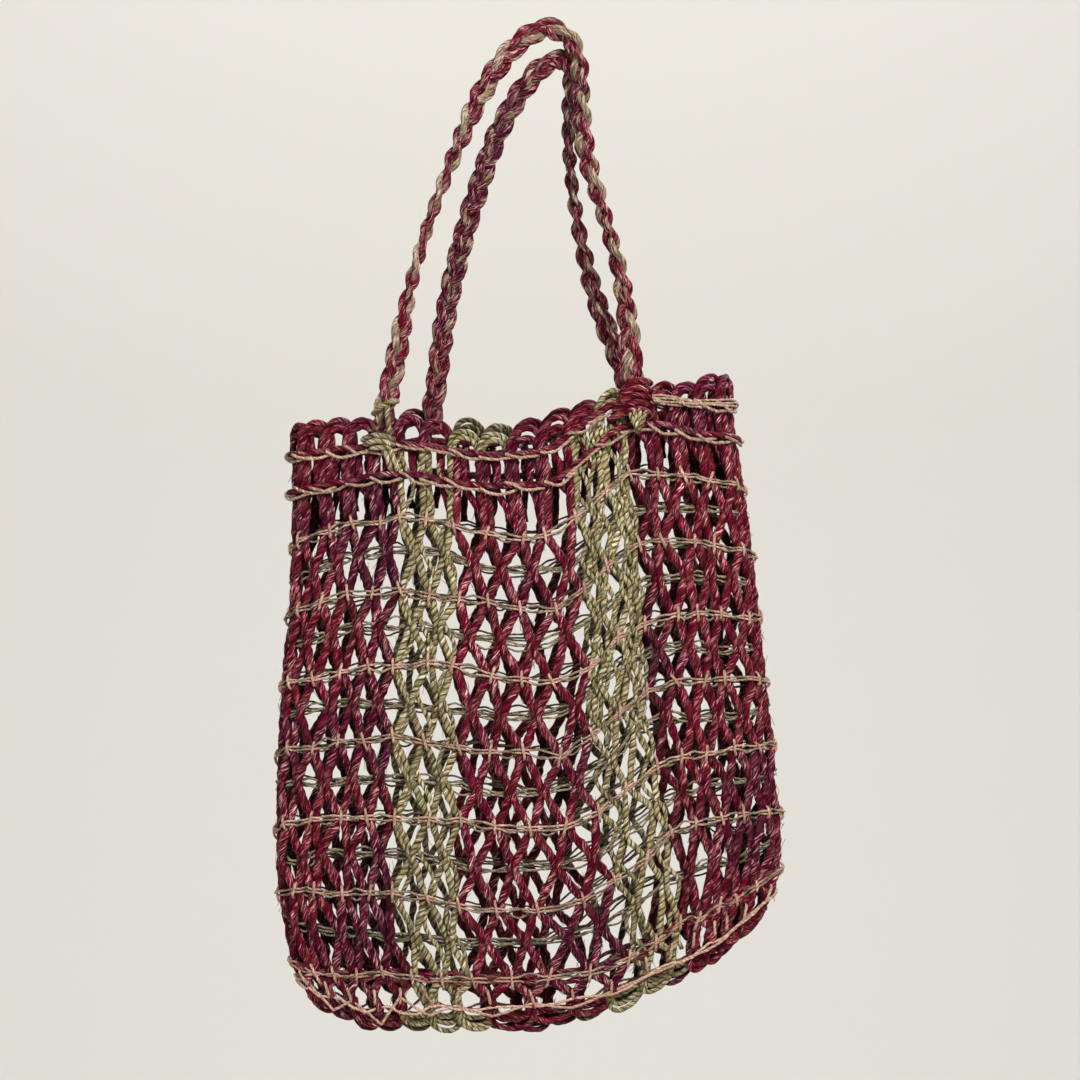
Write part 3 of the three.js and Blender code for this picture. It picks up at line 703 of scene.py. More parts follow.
def twine_row(row, strands, radius=TWINE_RADIUS, dyes=None):
    """Strands of one row, from pair to pair.

    Out and lift swing by a cosine between pair and gap, and in the gaps the strands wind round each other.
    The twine is pink on the pairs of an outside row and olive elsewhere, unless dyes are given.
    """
    pair = np.linspace(0, PAIRS, PAIRS * PAIR_STATIONS + 1)
    around = between_pairs(pair, PLACE_AROUND[row])
    down = between_pairs(pair, PLACE_DOWN[row])
    bound = 0.5 + 0.5 * np.cos(2 * np.pi * pair)
    pair_out, gap_out, pair_lift, gap_lift = np.array(strands)[:, :, None].swapaxes(0, 1)
    loose = random.normal(0, 1.0, (len(strands), PAIRS + 1))
    loose = np.stack([between_pairs(pair - 0.5, slack) for slack in loose])
    side = np.exp(-((((around * 2 + 0.5) % 1 - 0.5) / SIDE_REACH) ** 2))
    slack = SIDE_SLACK * random.uniform(0, 1, (len(strands), 1)) ** 2
    wind = 2 * np.pi * (BUNDLE_TURNS * pair + np.arange(len(strands))[:, None] / len(strands))
    wind = wind + random.uniform(0, 2 * np.pi)
    out = gap_out + bound * (pair_out - gap_out) + side * slack + BUNDLE_REACH * (1 - bound) * np.cos(wind)
    lift = gap_lift + bound * (pair_lift - gap_lift) + (loose + BUNDLE_REACH * np.sin(wind)) * (1 - bound)
    if dyes is None and SHIFTED[row]:
        dyes = np.clip(1 - PINK_RATE * bound**PINK_POWER, 0, 1)[:, None]
    elif dyes is None:
        dyes = (OLIVE_DYE, OLIVE_DYE)
    return on_wall(around, down - lift / DROP, out, radius, dyes, TWINE_SIDES, INNER_SHADE)


STITCH_STATIONS = 9
STITCH_HALF = 5.2
STITCH_OUT = 4.9
STITCH_RADIUS = 1.05
STITCH_STRAY, STITCH_SLANT, STITCH_ASIDE = 0.12, 0.25, 0.8
STITCH_DIVE = 2.6


def stitches(row):
    """A short upright stitch on each pair of an outside row, a bow that dives in at both ends."""
    share = np.linspace(-1, 1, STITCH_STATIONS)
    slant = random.normal(0, STITCH_SLANT, (PAIRS, 1))
    half = STITCH_HALF * random.normal(1, STITCH_STRAY, (PAIRS, 1))
    across = random.normal(0, STITCH_ASIDE, (PAIRS, 1)) + slant * half * share
    down = PLACE_DOWN[row, :PAIRS, None] + half * share / DROP
    around = PLACE_AROUND[row, :PAIRS, None] + across / girth(down)
    return on_wall(around, down, STITCH_OUT - STITCH_DIVE * share**4, STITCH_RADIUS, (0.0, 0.15), TWINE_SIDES)


outside_sweeps = []
inside_sweeps = []
for twine_index in TWINE_ROWS:
    if SHIFTED[twine_index]:
        outside_sweeps.append(twine_row(twine_index, OUTSIDE_STRANDS))
        outside_sweeps.append(stitches(twine_index))
    else:
        inside_sweeps.append(twine_row(twine_index, INSIDE_STRANDS))
weft_nodes = [f"weft_row_{number}" for number in range(1, 6)]
outside_weft = join("weft_outside", outside_sweeps, TWINE, "twine", *weft_nodes)
inside_weft = join("weft_inside", inside_sweeps, TWINE, "twine", *weft_nodes)


# The rim

RIM_NODES = ("rim_front", "rim_back")
RIM_RADIUS = 2.3
RIM_OUT = 4.6
RIM_TWINE_RADIUS = 1.15
LOOP_STATIONS = 30
LOOP_RADIUS = 2.3
POST_RADIUS = 2.7
BACK_POST_DRAW = 0.3
POST_STATIONS = 22
POST_TOP, POST_END_STRAY = -0.004, (-0.02, 0.01)
POST_STRAY, POST_SWAY, POST_SWAY_RATE = 0.12, 0.0012, 14
POST_DRAW = (0.35, 1.0)
POST_IN, POST_DRAWN_IN, POST_THINNED = 1.2, 2.6, 0.3
# The cords of a turned-over loop. Columns: rise in millimetres, beginning and end in pitches
RIM_LOOPS = [(18.5, -0.14, 1.14), (14.0, 0.02, 0.98)]
LOOP_OUT, LOOP_STRAY, LOOP_ROUND = 2.6, 0.09, 0.75
NATURAL_LOOP_RADIUS = 2.0
NATURAL_LOOP_PAIRS = np.array([7, 8, 12])
# Along a rim cord, the ripples' sizes in millimetres and counts round the bag
RIPPLES = [(0.5, 7), (0.3, 19)]
# The rim's twine in pitches: stray, length and lead of a strand; the share in which it slants; its dip in
# millimetres; how close it lies on the cord; the edge that it runs along; and how its end tucks in
WRAP_STATIONS = 28
WRAP_STRAY, WRAP_LENGTHS, WRAP_LEAD = 0.14, (1.25, 1.6), 0.15
WRAP_SLANTS, WRAP_DIPS = (0.35, 0.6), (-0.5, 3.8)
WRAP_PRESS, WRAP_EDGE, WRAP_TUCK, WRAP_TUCK_START = 0.7, 0.9, 2.2, 0.85
BUNDLE_START, BUNDLE_END = 0.405, 0.492
BUNDLE_LIFTS = (2.0, 0.3, -1.4)
BUNDLE_RADIUS = 0.85
BUNDLE_STATIONS = 60
BUNDLE_RIPPLE, BUNDLE_RIPPLE_RATE = 0.6, 90
RING_START = 0.75
RING_STATIONS = 460
COLUMNS = 24
FRONT_FEET = (2.65, 9.29)
BACK_FEET = (20.14, 14.8)
FEET = np.array(FRONT_FEET + BACK_FEET) / COLUMNS
LOOP_MIDDLE, FOOT_ROOM = 0.6, 0.4


def half_cosine(share):
    """0 to 1, eased at both ends by half a turn of a cosine."""
    return 0.5 - 0.5 * np.cos(np.pi * share)


def ring(down, out, radius, plies):
    """A level cord once round the bag, from the middle of the back, with a slight ripple."""
    share = np.linspace(0, 1, RING_STATIONS)
    around = RING_START + share
    wave = random.uniform(0, 2 * np.pi, len(RIPPLES))
    sizes, counts = np.array(RIPPLES).T[:, :, None]
    sway = np.sum(sizes * np.sin(2 * np.pi * counts * share + wave[:, None]), axis=0)
    level = down - hang_lift(around, down) - sway / DROP
    return on_wall(around, level, out, radius, plies, shade=INNER_SHADE)


def edge_loops(starts, rise, begin, end, radius, plies):
    """Loops that leave the rim, turn over and come back.

    around eases across by a cosine, and the rise is a power of a half sine.
    """
    share = np.linspace(0, 1, LOOP_STATIONS)
    size = random.normal(1, LOOP_STRAY, (len(starts), 1))
    around = starts[:, None] + (begin + (end - begin) * half_cosine(share)) / PAIRS
    height = rise * size * np.sin(np.pi * share) ** LOOP_ROUND
    points, outward = wall(around, np.zeros_like(around), LOOP_OUT * np.cos(np.pi * share))
    points = points + (height * MM)[..., None] * UP
    return sweep(points, outward, radius, plies, shade=INNER_SHADE)


def clear_of_feet(starts):
    """The loops whose middle keeps clear of the handles' feet."""
    middle = starts + LOOP_MIDDLE / PAIRS
    distance = np.abs((middle[:, None] - FEET + 0.5) % 1 - 0.5)
    return starts[np.all(distance > FOOT_ROOM / PAIRS, axis=1)]


def rim_posts():
    """The loops' ends, upright behind the rim's two level cords.

    They start between the net's own cords and are drawn in to the pairs of the first row of twine, the
    back's less than the front's, and end there, thinner and further in.
    """
    warps = np.arange(WARPS)
    pair = (warps + 1) // 2
    share = np.linspace(0, 1, POST_STATIONS)
    end = PLACE_DOWN[FIRST_ROW_INDEX, pair, None] + random.uniform(*POST_END_STRAY, (WARPS, 1))
    down = POST_TOP + (end - POST_TOP) * share
    top = spread((warps[:, None] + random.normal(0, POST_STRAY, (WARPS, 1))) / WARPS)
    drawn = smooth_step(share, *POST_DRAW) * np.where(warps < PAIRS, 1.0, BACK_POST_DRAW)[:, None]
    around = top + drawn * (PLACE_AROUND[FIRST_ROW_INDEX, pair, None] - top)
    around = around + random.normal(0, POST_SWAY, (WARPS, 1)) * np.sin(POST_SWAY_RATE * share)
    out = -POST_IN - POST_DRAWN_IN * drawn
    return on_wall(around, down, out, POST_RADIUS * (1 - POST_THINNED * drawn), (0.0, 0.0), shade=INNER_SHADE)


def rim_twine(down):
    """Twine that binds a rim cord.

    For each pair a strand starts somewhere between the cord's edges, slants over its front to the lower
    edge, and runs on along that edge under the next strand, always on the cord's own round.
    """
    share = np.linspace(0, 1, WRAP_STATIONS)
    starts = spread((np.arange(PAIRS) + random.normal(0, WRAP_STRAY, PAIRS)) / PAIRS)
    around = starts[:, None] + (random.uniform(*WRAP_LENGTHS, (PAIRS, 1)) * share - WRAP_LEAD) / PAIRS
    slant = smooth_step(share, 0.0, random.uniform(*WRAP_SLANTS, (PAIRS, 1)))
    dip = random.uniform(*WRAP_DIPS, (PAIRS, 1)) * np.sin(np.pi * share)
    reach = RIM_RADIUS + WRAP_PRESS * RIM_TWINE_RADIUS
    top = random.uniform(-WRAP_EDGE, WRAP_EDGE, (PAIRS, 1))
    lift = reach * (top - (top + WRAP_EDGE) * slant)
    tuck = WRAP_TUCK * np.clip((share - WRAP_TUCK_START) / (1 - WRAP_TUCK_START), 0, 1)
    out = RIM_OUT + np.sqrt(reach**2 - lift**2) - tuck
    level = down - hang_lift(around, down) - (lift - dip) / DROP
    return on_wall(around, level, out, RIM_TWINE_RADIUS, (0.1, 0.4), TWINE_SIDES)


def rim_bundle():
    """Level strands on the rim's upper row between the right foot and the bag's right side."""
    around = np.linspace(BUNDLE_START, BUNDLE_END, BUNDLE_STATIONS)
    middle = np.array(BUNDLE_LIFTS)[:, None]
    lift = middle + BUNDLE_RIPPLE * np.sin(BUNDLE_RIPPLE_RATE * around + middle)
    level = -hang_lift(around, np.zeros_like(around)) - lift / DROP
    out = RIM_OUT + RIM_RADIUS + BUNDLE_RADIUS
    return on_wall(around, level, out, BUNDLE_RADIUS, (0.2, 0.6), TWINE_SIDES)


pair_starts = spread(np.arange(PAIRS) / PAIRS)
natural_pairs = np.concatenate([NATURAL_LOOP_PAIRS, PAIRS - 1 - NATURAL_LOOP_PAIRS])
natural_starts = clear_of_feet(pair_starts[natural_pairs])
plain_starts = clear_of_feet(np.delete(pair_starts, natural_pairs))
rim_sweeps = [rim_posts()]
natural_sweeps = []
for rim_down in (0.0, RIM_ROW):
    for rim_out in (RIM_OUT, -RIM_OUT):
        rim_sweeps.append(ring(rim_down, rim_out, RIM_RADIUS, (0.0, 0.05)))
for loop in RIM_LOOPS:
    rim_sweeps.append(edge_loops(plain_starts, *loop, LOOP_RADIUS, (0.0, 0.04)))
    natural_sweeps.append(edge_loops(natural_starts, *loop, NATURAL_LOOP_RADIUS, (1.0, 1.0)))
join("rim_cords", rim_sweeps, RIM_CORD, "rim_cord", *RIM_NODES)
join("rim_natural", natural_sweeps, NATURAL_CORD, "natural_cord", *RIM_NODES)
join("rim_twine", [rim_twine(0.0), rim_twine(RIM_ROW), rim_bundle()], TWINE, "twine", *RIM_NODES)


# The bottom border

BAND_INDEX = TWINE_ROWS[-1]
BAND_RADIUS = 1.6
BAND_STRANDS = [(-3.2, 1.2, 3.0, 2.4), (-3.0, 1.6, -3.2, -3.0)]
# The cords of a scallop. Columns: drop in millimetres, beginning and end between two pairs
SCALLOPS = [(11.5, -0.08, 1.08), (8.0, 0.02, 0.98), (4.4, 0.08, 0.92)]
SCALLOP_RADIUS = 2.1
NATURAL_SCALLOP_RADIUS = 1.8
SCALLOP_STATIONS = 24
SCALLOP_LEAN, SCALLOP_OUT = 3.6, 1.4
SCALLOP_STRAY, SCALLOP_SIZES = 0.16, (0.75, 1.2)
SCALLOP_POWER = 2.2
TIE_STATIONS = 14
TIE_RADIUS = 1.7
TIE_FALL = 3.0
LACE_OUT = 3.9
LACE_RADIUS = 1.0
LACE_STRAY = 1.8
LACE_CALM, LACE_CALM_FADE = 0.7, (0.12, 0.19)
# The lacing's strands. Columns: swing about the bottom row in millimetres, lead in pairs
LACING = [(5.5, 0.0), (2.6, 0.5)]


def scallops(pairs, drop, begin, end, radius, plies):
    """Loops along the bottom.

    Each hangs by a power curve from one pair of the last row to the next, and leans in towards the bag's
    middle plane, where the front's and the back's meet.
    """
    share = np.linspace(0, 1, SCALLOP_STATIONS)
    across = begin + (end - begin) * half_cosine(share)
    around, down = (
        rows[-1, pairs, None] + (rows[-1, pairs + 1, None] - rows[-1, pairs, None]) * across
        for rows in (PLACE_AROUND, PLACE_DOWN)
    )
    size = np.clip(random.normal(1, SCALLOP_STRAY, (len(pairs), 1)), *SCALLOP_SIZES)
    hang = 1 - np.abs(2 * share - 1) ** SCALLOP_POWER
    fall = drop * size * hang
    out = SCALLOP_OUT * np.cos(np.pi * share) - SCALLOP_LEAN * hang
    return on_wall(around, down + fall / DROP, out, radius, plies, shade=INNER_SHADE)


def lacing(swing, ahead):
    """A strand of twine along the bottom that climbs straight to every second pair and falls to the next.

    It swings widely near the bag's left side only.
    """
    pair = np.linspace(0, PAIRS, PAIRS * PAIR_STATIONS + 1)
    slack = between_pairs(pair, random.normal(0, LACE_STRAY, PAIRS + 1))
    around = between_pairs(pair, PLACE_AROUND[-1])
    wide = 1 - LACE_CALM * smooth_step(from_left(around), *LACE_CALM_FADE)
    lift = wide * swing * (2 * np.abs((pair + ahead) % 2 - 1) - 1) + slack
    down = between_pairs(pair, PLACE_DOWN[-1]) - lift / DROP
    return on_wall(around, down, LACE_OUT, LACE_RADIUS, (0.0, 0.2), TWINE_SIDES)


def bottom_ties():
    """Short cords that close the bottom, each under the edge from a front pair to the one behind it."""
    front = np.arange(PAIRS // 2)
    ends = [wall(PLACE_AROUND[-1, pairs], PLACE_DOWN[-1, pairs])[0] for pairs in (front, PAIRS - 1 - front)]
    share = np.linspace(0, 1, TIE_STATIONS)[:, None]
    paths = ends[0][:, None] + (ends[1] - ends[0])[:, None] * share
    paths = paths - TIE_FALL * MM * np.sin(np.pi * share) * UP
    return sweep(paths, np.broadcast_to(-UP, paths.shape), TIE_RADIUS, (0.0, 0.1))


natural_ends = np.unique(np.concatenate([STRIPES // 2, (STRIPES - 1) // 2]))
plain_ends = np.setdiff1d(np.arange(PAIRS), natural_ends)
border_sweeps = [twine_row(BAND_INDEX, BAND_STRANDS, BAND_RADIUS, (0.0, 0.15)), bottom_ties()]
natural_border_sweeps = []
for scallop in SCALLOPS:
    border_sweeps.append(scallops(plain_ends, *scallop, SCALLOP_RADIUS, (0.0, 0.05)))
    natural_border_sweeps.append(scallops(natural_ends, *scallop, NATURAL_SCALLOP_RADIUS, (1.0, 1.0)))
join("border_cords", border_sweeps, BORDER_CORD, "border_cord", "bottom_border")
join("border_natural", natural_border_sweeps, NATURAL_CORD, "natural_cord", "bottom_border")
lace_sweeps = [lacing(*strand) for strand in LACING] + [stitches(len(ROWS) - 2)]
join("border_twine", lace_sweeps, TWINE, "twine", "bottom_border")


# The braided handles

BRAID_PERIOD = 54.0
BRAID_REACH = 4.8
CORD_APART = 2.0
CORD_CROWN = 0.6
BRAID_DEPTH = 2.1
BRAID_STEP = 1.4
STRAND_RADIUS = 1.75
STRAND_SIDES = 6
FOOT_DOWN = -4.9
FOOT_STRAIGHT = 8.0
FOOT_SPAN = 0.2
CURVE_SAMPLES = 60
BEND_FADE = (0.45, 0.6)
FRONT_PALER, BACK_PALER = 0.3, 1.5
# The route of each handle. Columns: x, y and z in millimetres, turn of the braid's flat face in degrees
FRONT_ROUTE = [
    (-119.5, -18, -207, 20), (-110, -16, -158, 68), (-95, -14, -106, 78), (-76.5, -12, -58, 58),
    (-57, -10, -14.5, 25), (-36, -9, 14.5, 15), (-13, -8.5, 29.5, 20), (3.5, -9, 23, 44),
    (11.5, -9.5, 3, 50), (12.5, -11, -25, 42), (16.5, -12, -61, 42), (29, -14, -104, 62),
    (41.5, -16, -151, 52), (47.5, -18, -191, 20),
]
BACK_ROUTE = [
    (-91.5, 18, -227, 0), (-86.5, 17, -187, 0), (-77, 15, -140, 0), (-63.5, 13, -92, 0),
    (-45.5, 10, -42, 5), (-27.5, 7, -11.5, 12), (-11, 5, 5, 25), (0, 4, 7, 45),
    (4.5, 4, -4, 66), (3.8, 5, -29, 74), (4.4, 8, -58, 76), (8.5, 11, -97, 72),
    (16.5, 14, -138, 54), (27, 17, -174, 32), (37, 18, -199, 15),
]
# The dyes of the two plies of each cord, from 0 burgundy to 1 natural
FRONT_DYES = [
    (0.0, 0.0), (0.9, 1.0), (0.0, 0.6),
    (0.0, 0.0), (0.8, 1.0), (0.0, 0.0),
    (0.0, 0.1), (0.0, 0.9), (0.0, 0.8),
]
BACK_DYES = [
    (0.0, 0.0), (0.1, 0.9), (0.0, 0.1),
    (0.0, 0.0), (0.0, 0.0), (0.0, 0.8),
    (0.0, 0.4), (0.0, 0.0), (0.0, 0.4),
]


def foot_point(column):
    """A handle's foot on the rim, in millimetres."""
    return wall(column / COLUMNS, FOOT_DOWN / DROP)[0] / MM


def foot_rise(column):
    """The point that a foot's route passes on its way up, square to the rim's edge."""
    edge = foot_point(column + FOOT_SPAN) - foot_point(column - FOOT_SPAN)
    rise = np.array([-edge[2], 0.0, edge[0]])
    rise = rise * np.sign(rise[2]) * FOOT_STRAIGHT / np.linalg.norm(rise)
    return foot_point(column) + rise


def smooth_curve(points):
    """Centripetal Catmull-Rom curve through rows of points, spaced by their first three columns."""
    before = 2 * points[0] - points[1]
    after = 2 * points[-1] - points[-2]
    longer = np.concatenate([[before], points, [after]])
    p0, p1, p2, p3 = (longer[k : len(points) - 1 + k] for k in range(4))
    steps = [(p1 - p0)[:, :3], (p2 - p1)[:, :3], (p3 - p2)[:, :3]]
    gaps = [np.sqrt(np.linalg.norm(step, axis=1))[:, None] for step in steps]
    start = gaps[1] * ((p1 - p0) / gaps[0] - (p2 - p0) / (gaps[0] + gaps[1])) + p2 - p1
    end = gaps[1] * ((p3 - p2) / gaps[2] - (p3 - p1) / (gaps[1] + gaps[2])) + p2 - p1
    share = np.linspace(0, 1, CURVE_SAMPLES, endpoint=False)[None, :, None]
    rest = 1 - share
    curve = (1 + 2 * share) * rest**2 * p1[:, None] + share * rest**2 * start[:, None]
    curve = curve + share**2 * (3 - 2 * share) * p2[:, None] - share**2 * rest * end[:, None]
    return np.concatenate([curve.reshape(-1, points.shape[1]), points[-1:]])


def handle_frame(route, feet):
    """Middle of a handle in millimetres, and the directions through and across it, by distance.

    The middle is a smooth curve from foot to foot, walked in even steps, and the flat face turns with it.
    """
    ends = [[np.append(foot_point(foot), 0), np.append(foot_rise(foot), 0)] for foot in feet]
    curve = smooth_curve(np.array([*ends[0], *np.array(route, float), *ends[1][::-1]]))
    walked = np.concatenate([[0], np.cumsum(np.linalg.norm(np.diff(curve[:, :3], axis=0), axis=1))])
    distance = np.linspace(0, walked[-1], int(walked[-1] / BRAID_STEP))
    even = np.stack([np.interp(distance, walked, column) for column in curve.T], axis=1)
    centre = even[:, :3]
    ahead = unit(np.gradient(centre, axis=0))
    thin = off_line(np.broadcast_to([0.0, -1.0, 0.0], ahead.shape), ahead)
    turn = np.radians(even[:, 3:])
    thin = thin * np.cos(turn) + np.cross(ahead, thin) * np.sin(turn)
    return {"centre": centre, "thin": thin, "wide": np.cross(ahead, thin), "distance": distance}


def braid(handle, plies, paler):
    """Three strands of three cords side by side, the middle one raised.

    A strand passes from side to side by a sine, and over and under the others by a sine of twice the rate.
    Past the handle's bend the mixed dyes rise by a share paler towards natural.
    """
    angle = 2 * np.pi * (handle["distance"] / BRAID_PERIOD + np.arange(3)[:, None] / 3)
    across = BRAID_REACH * np.sin(angle)
    across = np.concatenate([across - CORD_APART, across, across + CORD_APART])
    through = BRAID_DEPTH * np.sin(2 * angle)
    through = np.concatenate([through, through + CORD_CROWN, through])
    paths = handle["centre"] + across[..., None] * handle["wide"] + through[..., None] * handle["thin"]
    outward = np.broadcast_to(handle["thin"], paths.shape)
    past_bend = smooth_step(handle["distance"] / handle["distance"][-1], *BEND_FADE)
    dyes = np.minimum(np.array(plies)[:, None, :] * (1 + paler * past_bend[:, None]), 1.0)
    return sweep(paths * MM, outward, STRAND_RADIUS, dyes, STRAND_SIDES)


front_handle = handle_frame(FRONT_ROUTE, FRONT_FEET)
back_handle = handle_frame(BACK_ROUTE, BACK_FEET)
front_braid = braid(front_handle, FRONT_DYES, FRONT_PALER)
join("handle_front_braid", [front_braid], HANDLE_BRAID, "handle_braid", "handle_front")
back_braid = braid(back_handle, BACK_DYES, BACK_PALER)
join("handle_back_braid", [back_braid], HANDLE_BRAID, "handle_braid", "handle_back")


# The lashings at the front handle's feet

LASHING_TURN = 4.8
# The cord wound round each foot, in millimetres. Columns: low and high end along the handle, radius
LEFT_WOUND = (1.5, 6, 1.4)
RIGHT_WOUND = (1.5, 13, 2.0)
RIM_FACE = -21.0
TURN_STATIONS = 28
WOUND_THIN, WOUND_WIDE = 5.6, 8.2
LAID_STATIONS = 24
LAID_FLATTENED = 0.9
# Strands laid over the left foot, in millimetres. Columns: start, middle and end, each across and up, how
# far they stand out, radius
LEFT_STRANDS = [
    (-136, -248, -127.5, -241, -119, -239, 7.0, 2.0),
    (-126, -241, -125.5, -252, -124.5, -265, 7.5, 2.0),
    (-143.5, -266.5, -132, -263.5, -121.5, -267, 8.5, 2.1),
    (-142.5, -270.5, -132, -267.5, -121.5, -270.5, 8.5, 2.1),
    (-139, -274.5, -131, -272, -122.5, -274, 8.0, 2.0),
    (-129.5, -272, -126, -279, -123.5, -289, 7.0, 2.0),
    (-125, -272, -121.5, -280, -118, -290, 7.0, 1.9),
]
RIGHT_TURNS = 5
RIGHT_TURN_STEP, RIGHT_TURN_LEFT = 5.3, 2.4
RIGHT_TURN = (43.0, -231.5, 53.0, -224.5, 62.5, -226.0, 9.0, 2.6)
RIGHT_FAN_FOOT = (53.3, -261.0)
RIGHT_FAN_TOPS = [(46.5, -246.0), (50.3, -243.5), (54.5, -242.0), (59.5, -244.5)]
FAN_BOW, FAN_OUT, FAN_RADIUS = 0.6, 12.5, 1.6


def wound(handle, low, high, radius, plies, from_end):
    """A cord wound round a handle's foot as a helix over an oval a little larger than the braid."""
    turns = (high - low) / LASHING_TURN
    share = np.linspace(0, 1, int(turns * TURN_STATIONS))
    distance = low + (high - low) * share
    if from_end:
        distance = handle["distance"][-1] - distance
    centre, thin, wide = (
        np.stack([np.interp(distance, handle["distance"], column) for column in handle[name].T], axis=1)
        for name in ("centre", "thin", "wide")
    )
    angle = 2 * np.pi * turns * share[:, None]
    arm = np.cos(angle) * thin * (WOUND_THIN + radius) + np.sin(angle) * wide * (WOUND_WIDE + radius)
    path = (centre + arm) * MM
    return sweep(path[None], arm[None], radius, plies)


def laid(strands, plies):
    """Strands laid over the rim's front: quadratic curves through start, middle and end, bowed outward."""
    x0, z0, x1, z1, x2, z2, out, radius = np.array(strands, float).T[:, :, None]
    share = np.linspace(0, 1, LAID_STATIONS)
    rest = 1 - share
    x = rest**2 * x0 + 2 * rest * share * (2 * x1 - (x0 + x2) / 2) + share**2 * x2
    z = rest**2 * z0 + 2 * rest * share * (2 * z1 - (z0 + z2) / 2) + share**2 * z2
    y = RIM_FACE - out * (1 - LAID_FLATTENED * (2 * share - 1) ** 4)
    paths = np.stack([x, y, z], axis=-1) * MM
    outward = np.broadcast_to([0.0, -1.0, 0.0], paths.shape)
    return sweep(paths, outward, radius, plies)


def right_strands():
    """Slanting turns over the right foot, one below the other, each a little further to the left."""
    x0, z0, x1, z1, x2, z2, out, radius = RIGHT_TURN
    turns = []
    for number in range(RIGHT_TURNS):
        fall = number * RIGHT_TURN_STEP
        left = RIGHT_TURN_LEFT * number
        turns.append((x0 - left, z0 - fall, x1 - left / 2, z1 - fall, x2, z2 - fall, out, radius))
    return turns


def right_fan():
    """Natural strands that spread upward from one point under the right foot."""
    foot_x, foot_z = RIGHT_FAN_FOOT
    strands = []
    for x, z in RIGHT_FAN_TOPS:
        middle = ((foot_x + x) / 2 + FAN_BOW, (foot_z + z) / 2)
        strands.append((foot_x, foot_z, *middle, x, z, FAN_OUT, FAN_RADIUS))
    return strands


left_sweeps = [wound(front_handle, *LEFT_WOUND, (0.2, 0.8), False), laid(LEFT_STRANDS, (1.0, 0.9))]
join("lashing_left_wrap", left_sweeps, LASHING_CORD, "natural_cord", "lashing_left")
right_sweeps = [wound(front_handle, *RIGHT_WOUND, (0.0, 0.1), True), laid(right_strands(), (0.0, 0.05))]
join("lashing_right_wrap", right_sweeps, NET_CORD, "net_cord", "lashing_right")
fan_sweeps = [laid(right_fan(), (1.0, 1.0))]
join("lashing_right_stitches", fan_sweeps, NATURAL_CORD, "natural_cord", "lashing_right")


# The stage

FRAME_WIDTH = 0.7776
FRAME_CENTRE = np.array([-0.0166, 0.0, -0.3384])
CAMERA_DISTANCE = 5.5
SENSOR = 36.0
FLOOR_HEIGHT = -1.6
STAGE_DEPTH = 7.5
STAGE_HALF = 9.0
SWEEP_RADIUS = 1.5
STAGE_FRONT = -8.0
STAGE_TOP = 7.0
SWEEP_STATIONS = 16
PAPER = colour(0.8, 0.788, 0.747)
PAPER_ROUGHNESS = 0.9
SURROUND = colour(1.0, 0.98, 0.95)
SURROUND_STRENGTH = 0.24
# The lights. Columns: name, place, what it faces, size in metres, power in watts, tint
LIGHTS = [
    ("key", (0.75, -1.75, 0.9), FRAME_CENTRE, 0.6, 56, (1.0, 0.97, 0.94)),
    ("fill", (-1.6, -1.4, 0.1), FRAME_CENTRE, 1.6, 12, (0.96, 0.98, 1.0)),
    ("back", (0.9, 1.9, 0.9), FRAME_CENTRE, 1.4, 40, (1.0, 0.98, 0.96)),
    ("paper_light", (0.0, 4.0, 3.2), (0.0, STAGE_DEPTH, -0.4), 3.0, 172, (1.0, 0.98, 0.96)),
]


def stage_material():
    """Pale matt paper."""
    material = bpy.data.materials.new("paper")
    material.use_nodes = True
    shader = material.node_tree.nodes["Principled BSDF"]
    shader.inputs["Base Color"].default_value = PAPER
    shader.inputs["Roughness"].default_value = PAPER_ROUGHNESS
    return material


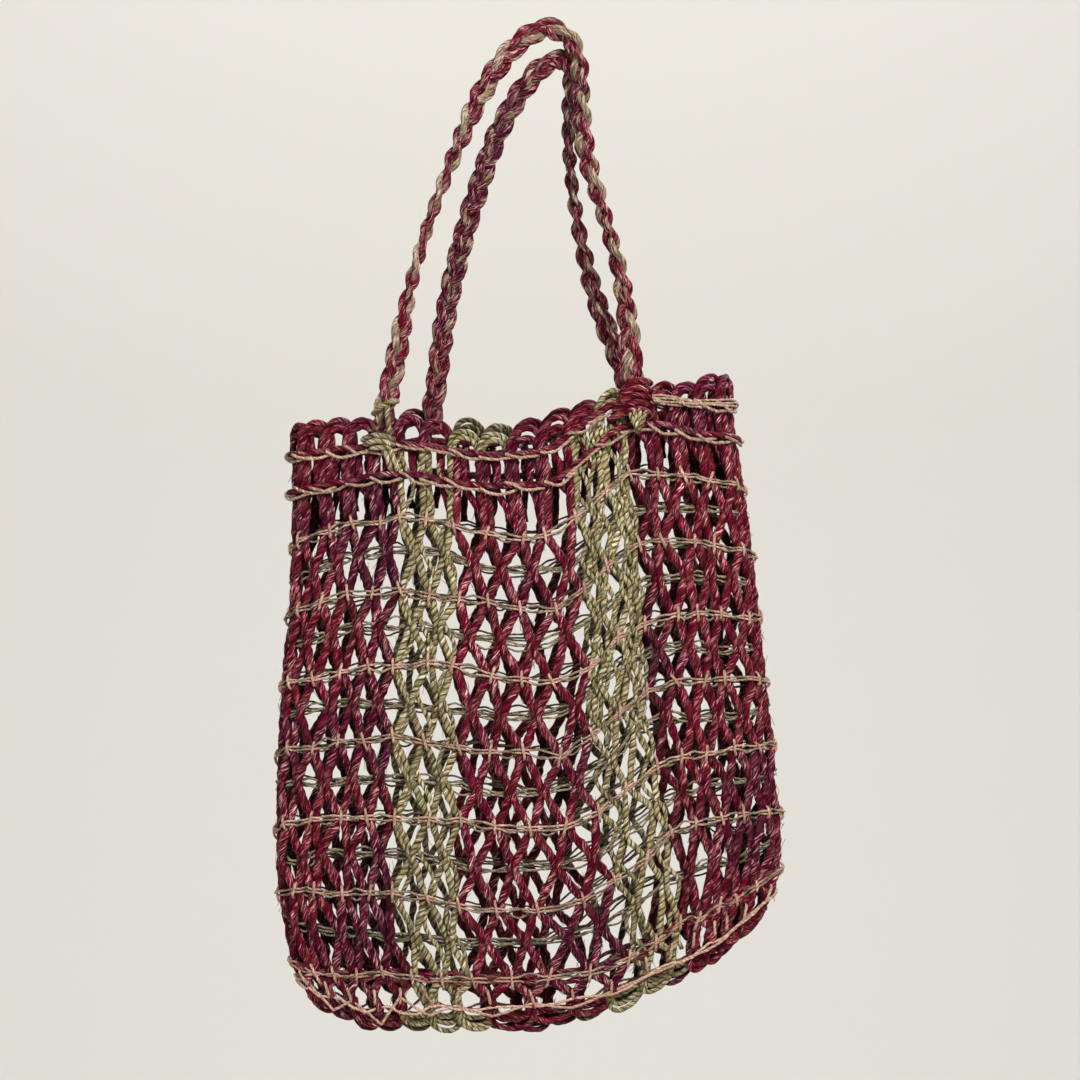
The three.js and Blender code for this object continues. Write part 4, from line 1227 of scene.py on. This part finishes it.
def backdrop():
    """A floor of paper that turns up by a quarter round into a wall, further off than the camera goes."""
    turn = np.linspace(0, np.pi / 2, SWEEP_STATIONS)
    depth = np.concatenate([[STAGE_FRONT], STAGE_DEPTH - SWEEP_RADIUS * (1 - np.sin(turn)), [STAGE_DEPTH]])
    height = np.concatenate([[0.0], SWEEP_RADIUS * (1 - np.cos(turn)), [STAGE_TOP]]) + FLOOR_HEIGHT
    points = [(x, y, z) for x in (-STAGE_HALF, STAGE_HALF) for y, z in zip(depth, height)]
    count = len(depth)
    faces = [(k, k + count, k + count + 1, k + 1) for k in range(count - 1)]
    mesh = bpy.data.meshes.new("backdrop")
    mesh.from_pydata(points, [], faces)
    mesh.polygons.foreach_set("use_smooth", np.ones(len(faces), dtype=bool))
    mesh.materials.append(stage_material())
    sheet = bpy.data.objects.new("backdrop", mesh)
    bpy.context.scene.collection.objects.link(sheet)


def area_light(name, place, target, size, power, tint):
    """A square soft light that faces a point."""
    light = bpy.data.lights.new(name, "AREA")
    light.size = size
    light.energy = power
    light.color = tint
    lamp = bpy.data.objects.new(name, light)
    bpy.context.scene.collection.objects.link(lamp)
    lamp.location = place
    direction = Vector(np.array(target) - np.array(place))
    lamp.rotation_euler = direction.to_track_quat("-Z", "Y").to_euler()


def camera():
    """A long lens straight in front, its frame as wide as the photo at the bag's own plane."""
    data = bpy.data.cameras.new("camera")
    data.sensor_width = SENSOR
    data.lens = SENSOR * CAMERA_DISTANCE / FRAME_WIDTH
    eye = bpy.data.objects.new("camera", data)
    eye.location = FRAME_CENTRE - np.array([0.0, CAMERA_DISTANCE, 0.0])
    eye.rotation_euler = (np.pi / 2, 0.0, 0.0)
    bpy.context.scene.collection.objects.link(eye)
    bpy.context.scene.camera = eye


def world():
    """A soft pale surround."""
    surround = bpy.data.worlds.new("surround")
    surround.use_nodes = True
    background = surround.node_tree.nodes["Background"]
    background.inputs["Color"].default_value = SURROUND
    background.inputs["Strength"].default_value = SURROUND_STRENGTH
    bpy.context.scene.world = surround


backdrop()
for light_row in LIGHTS:
    area_light(*light_row)
camera()
world()
bpy.context.scene.view_settings.view_transform = "Standard"
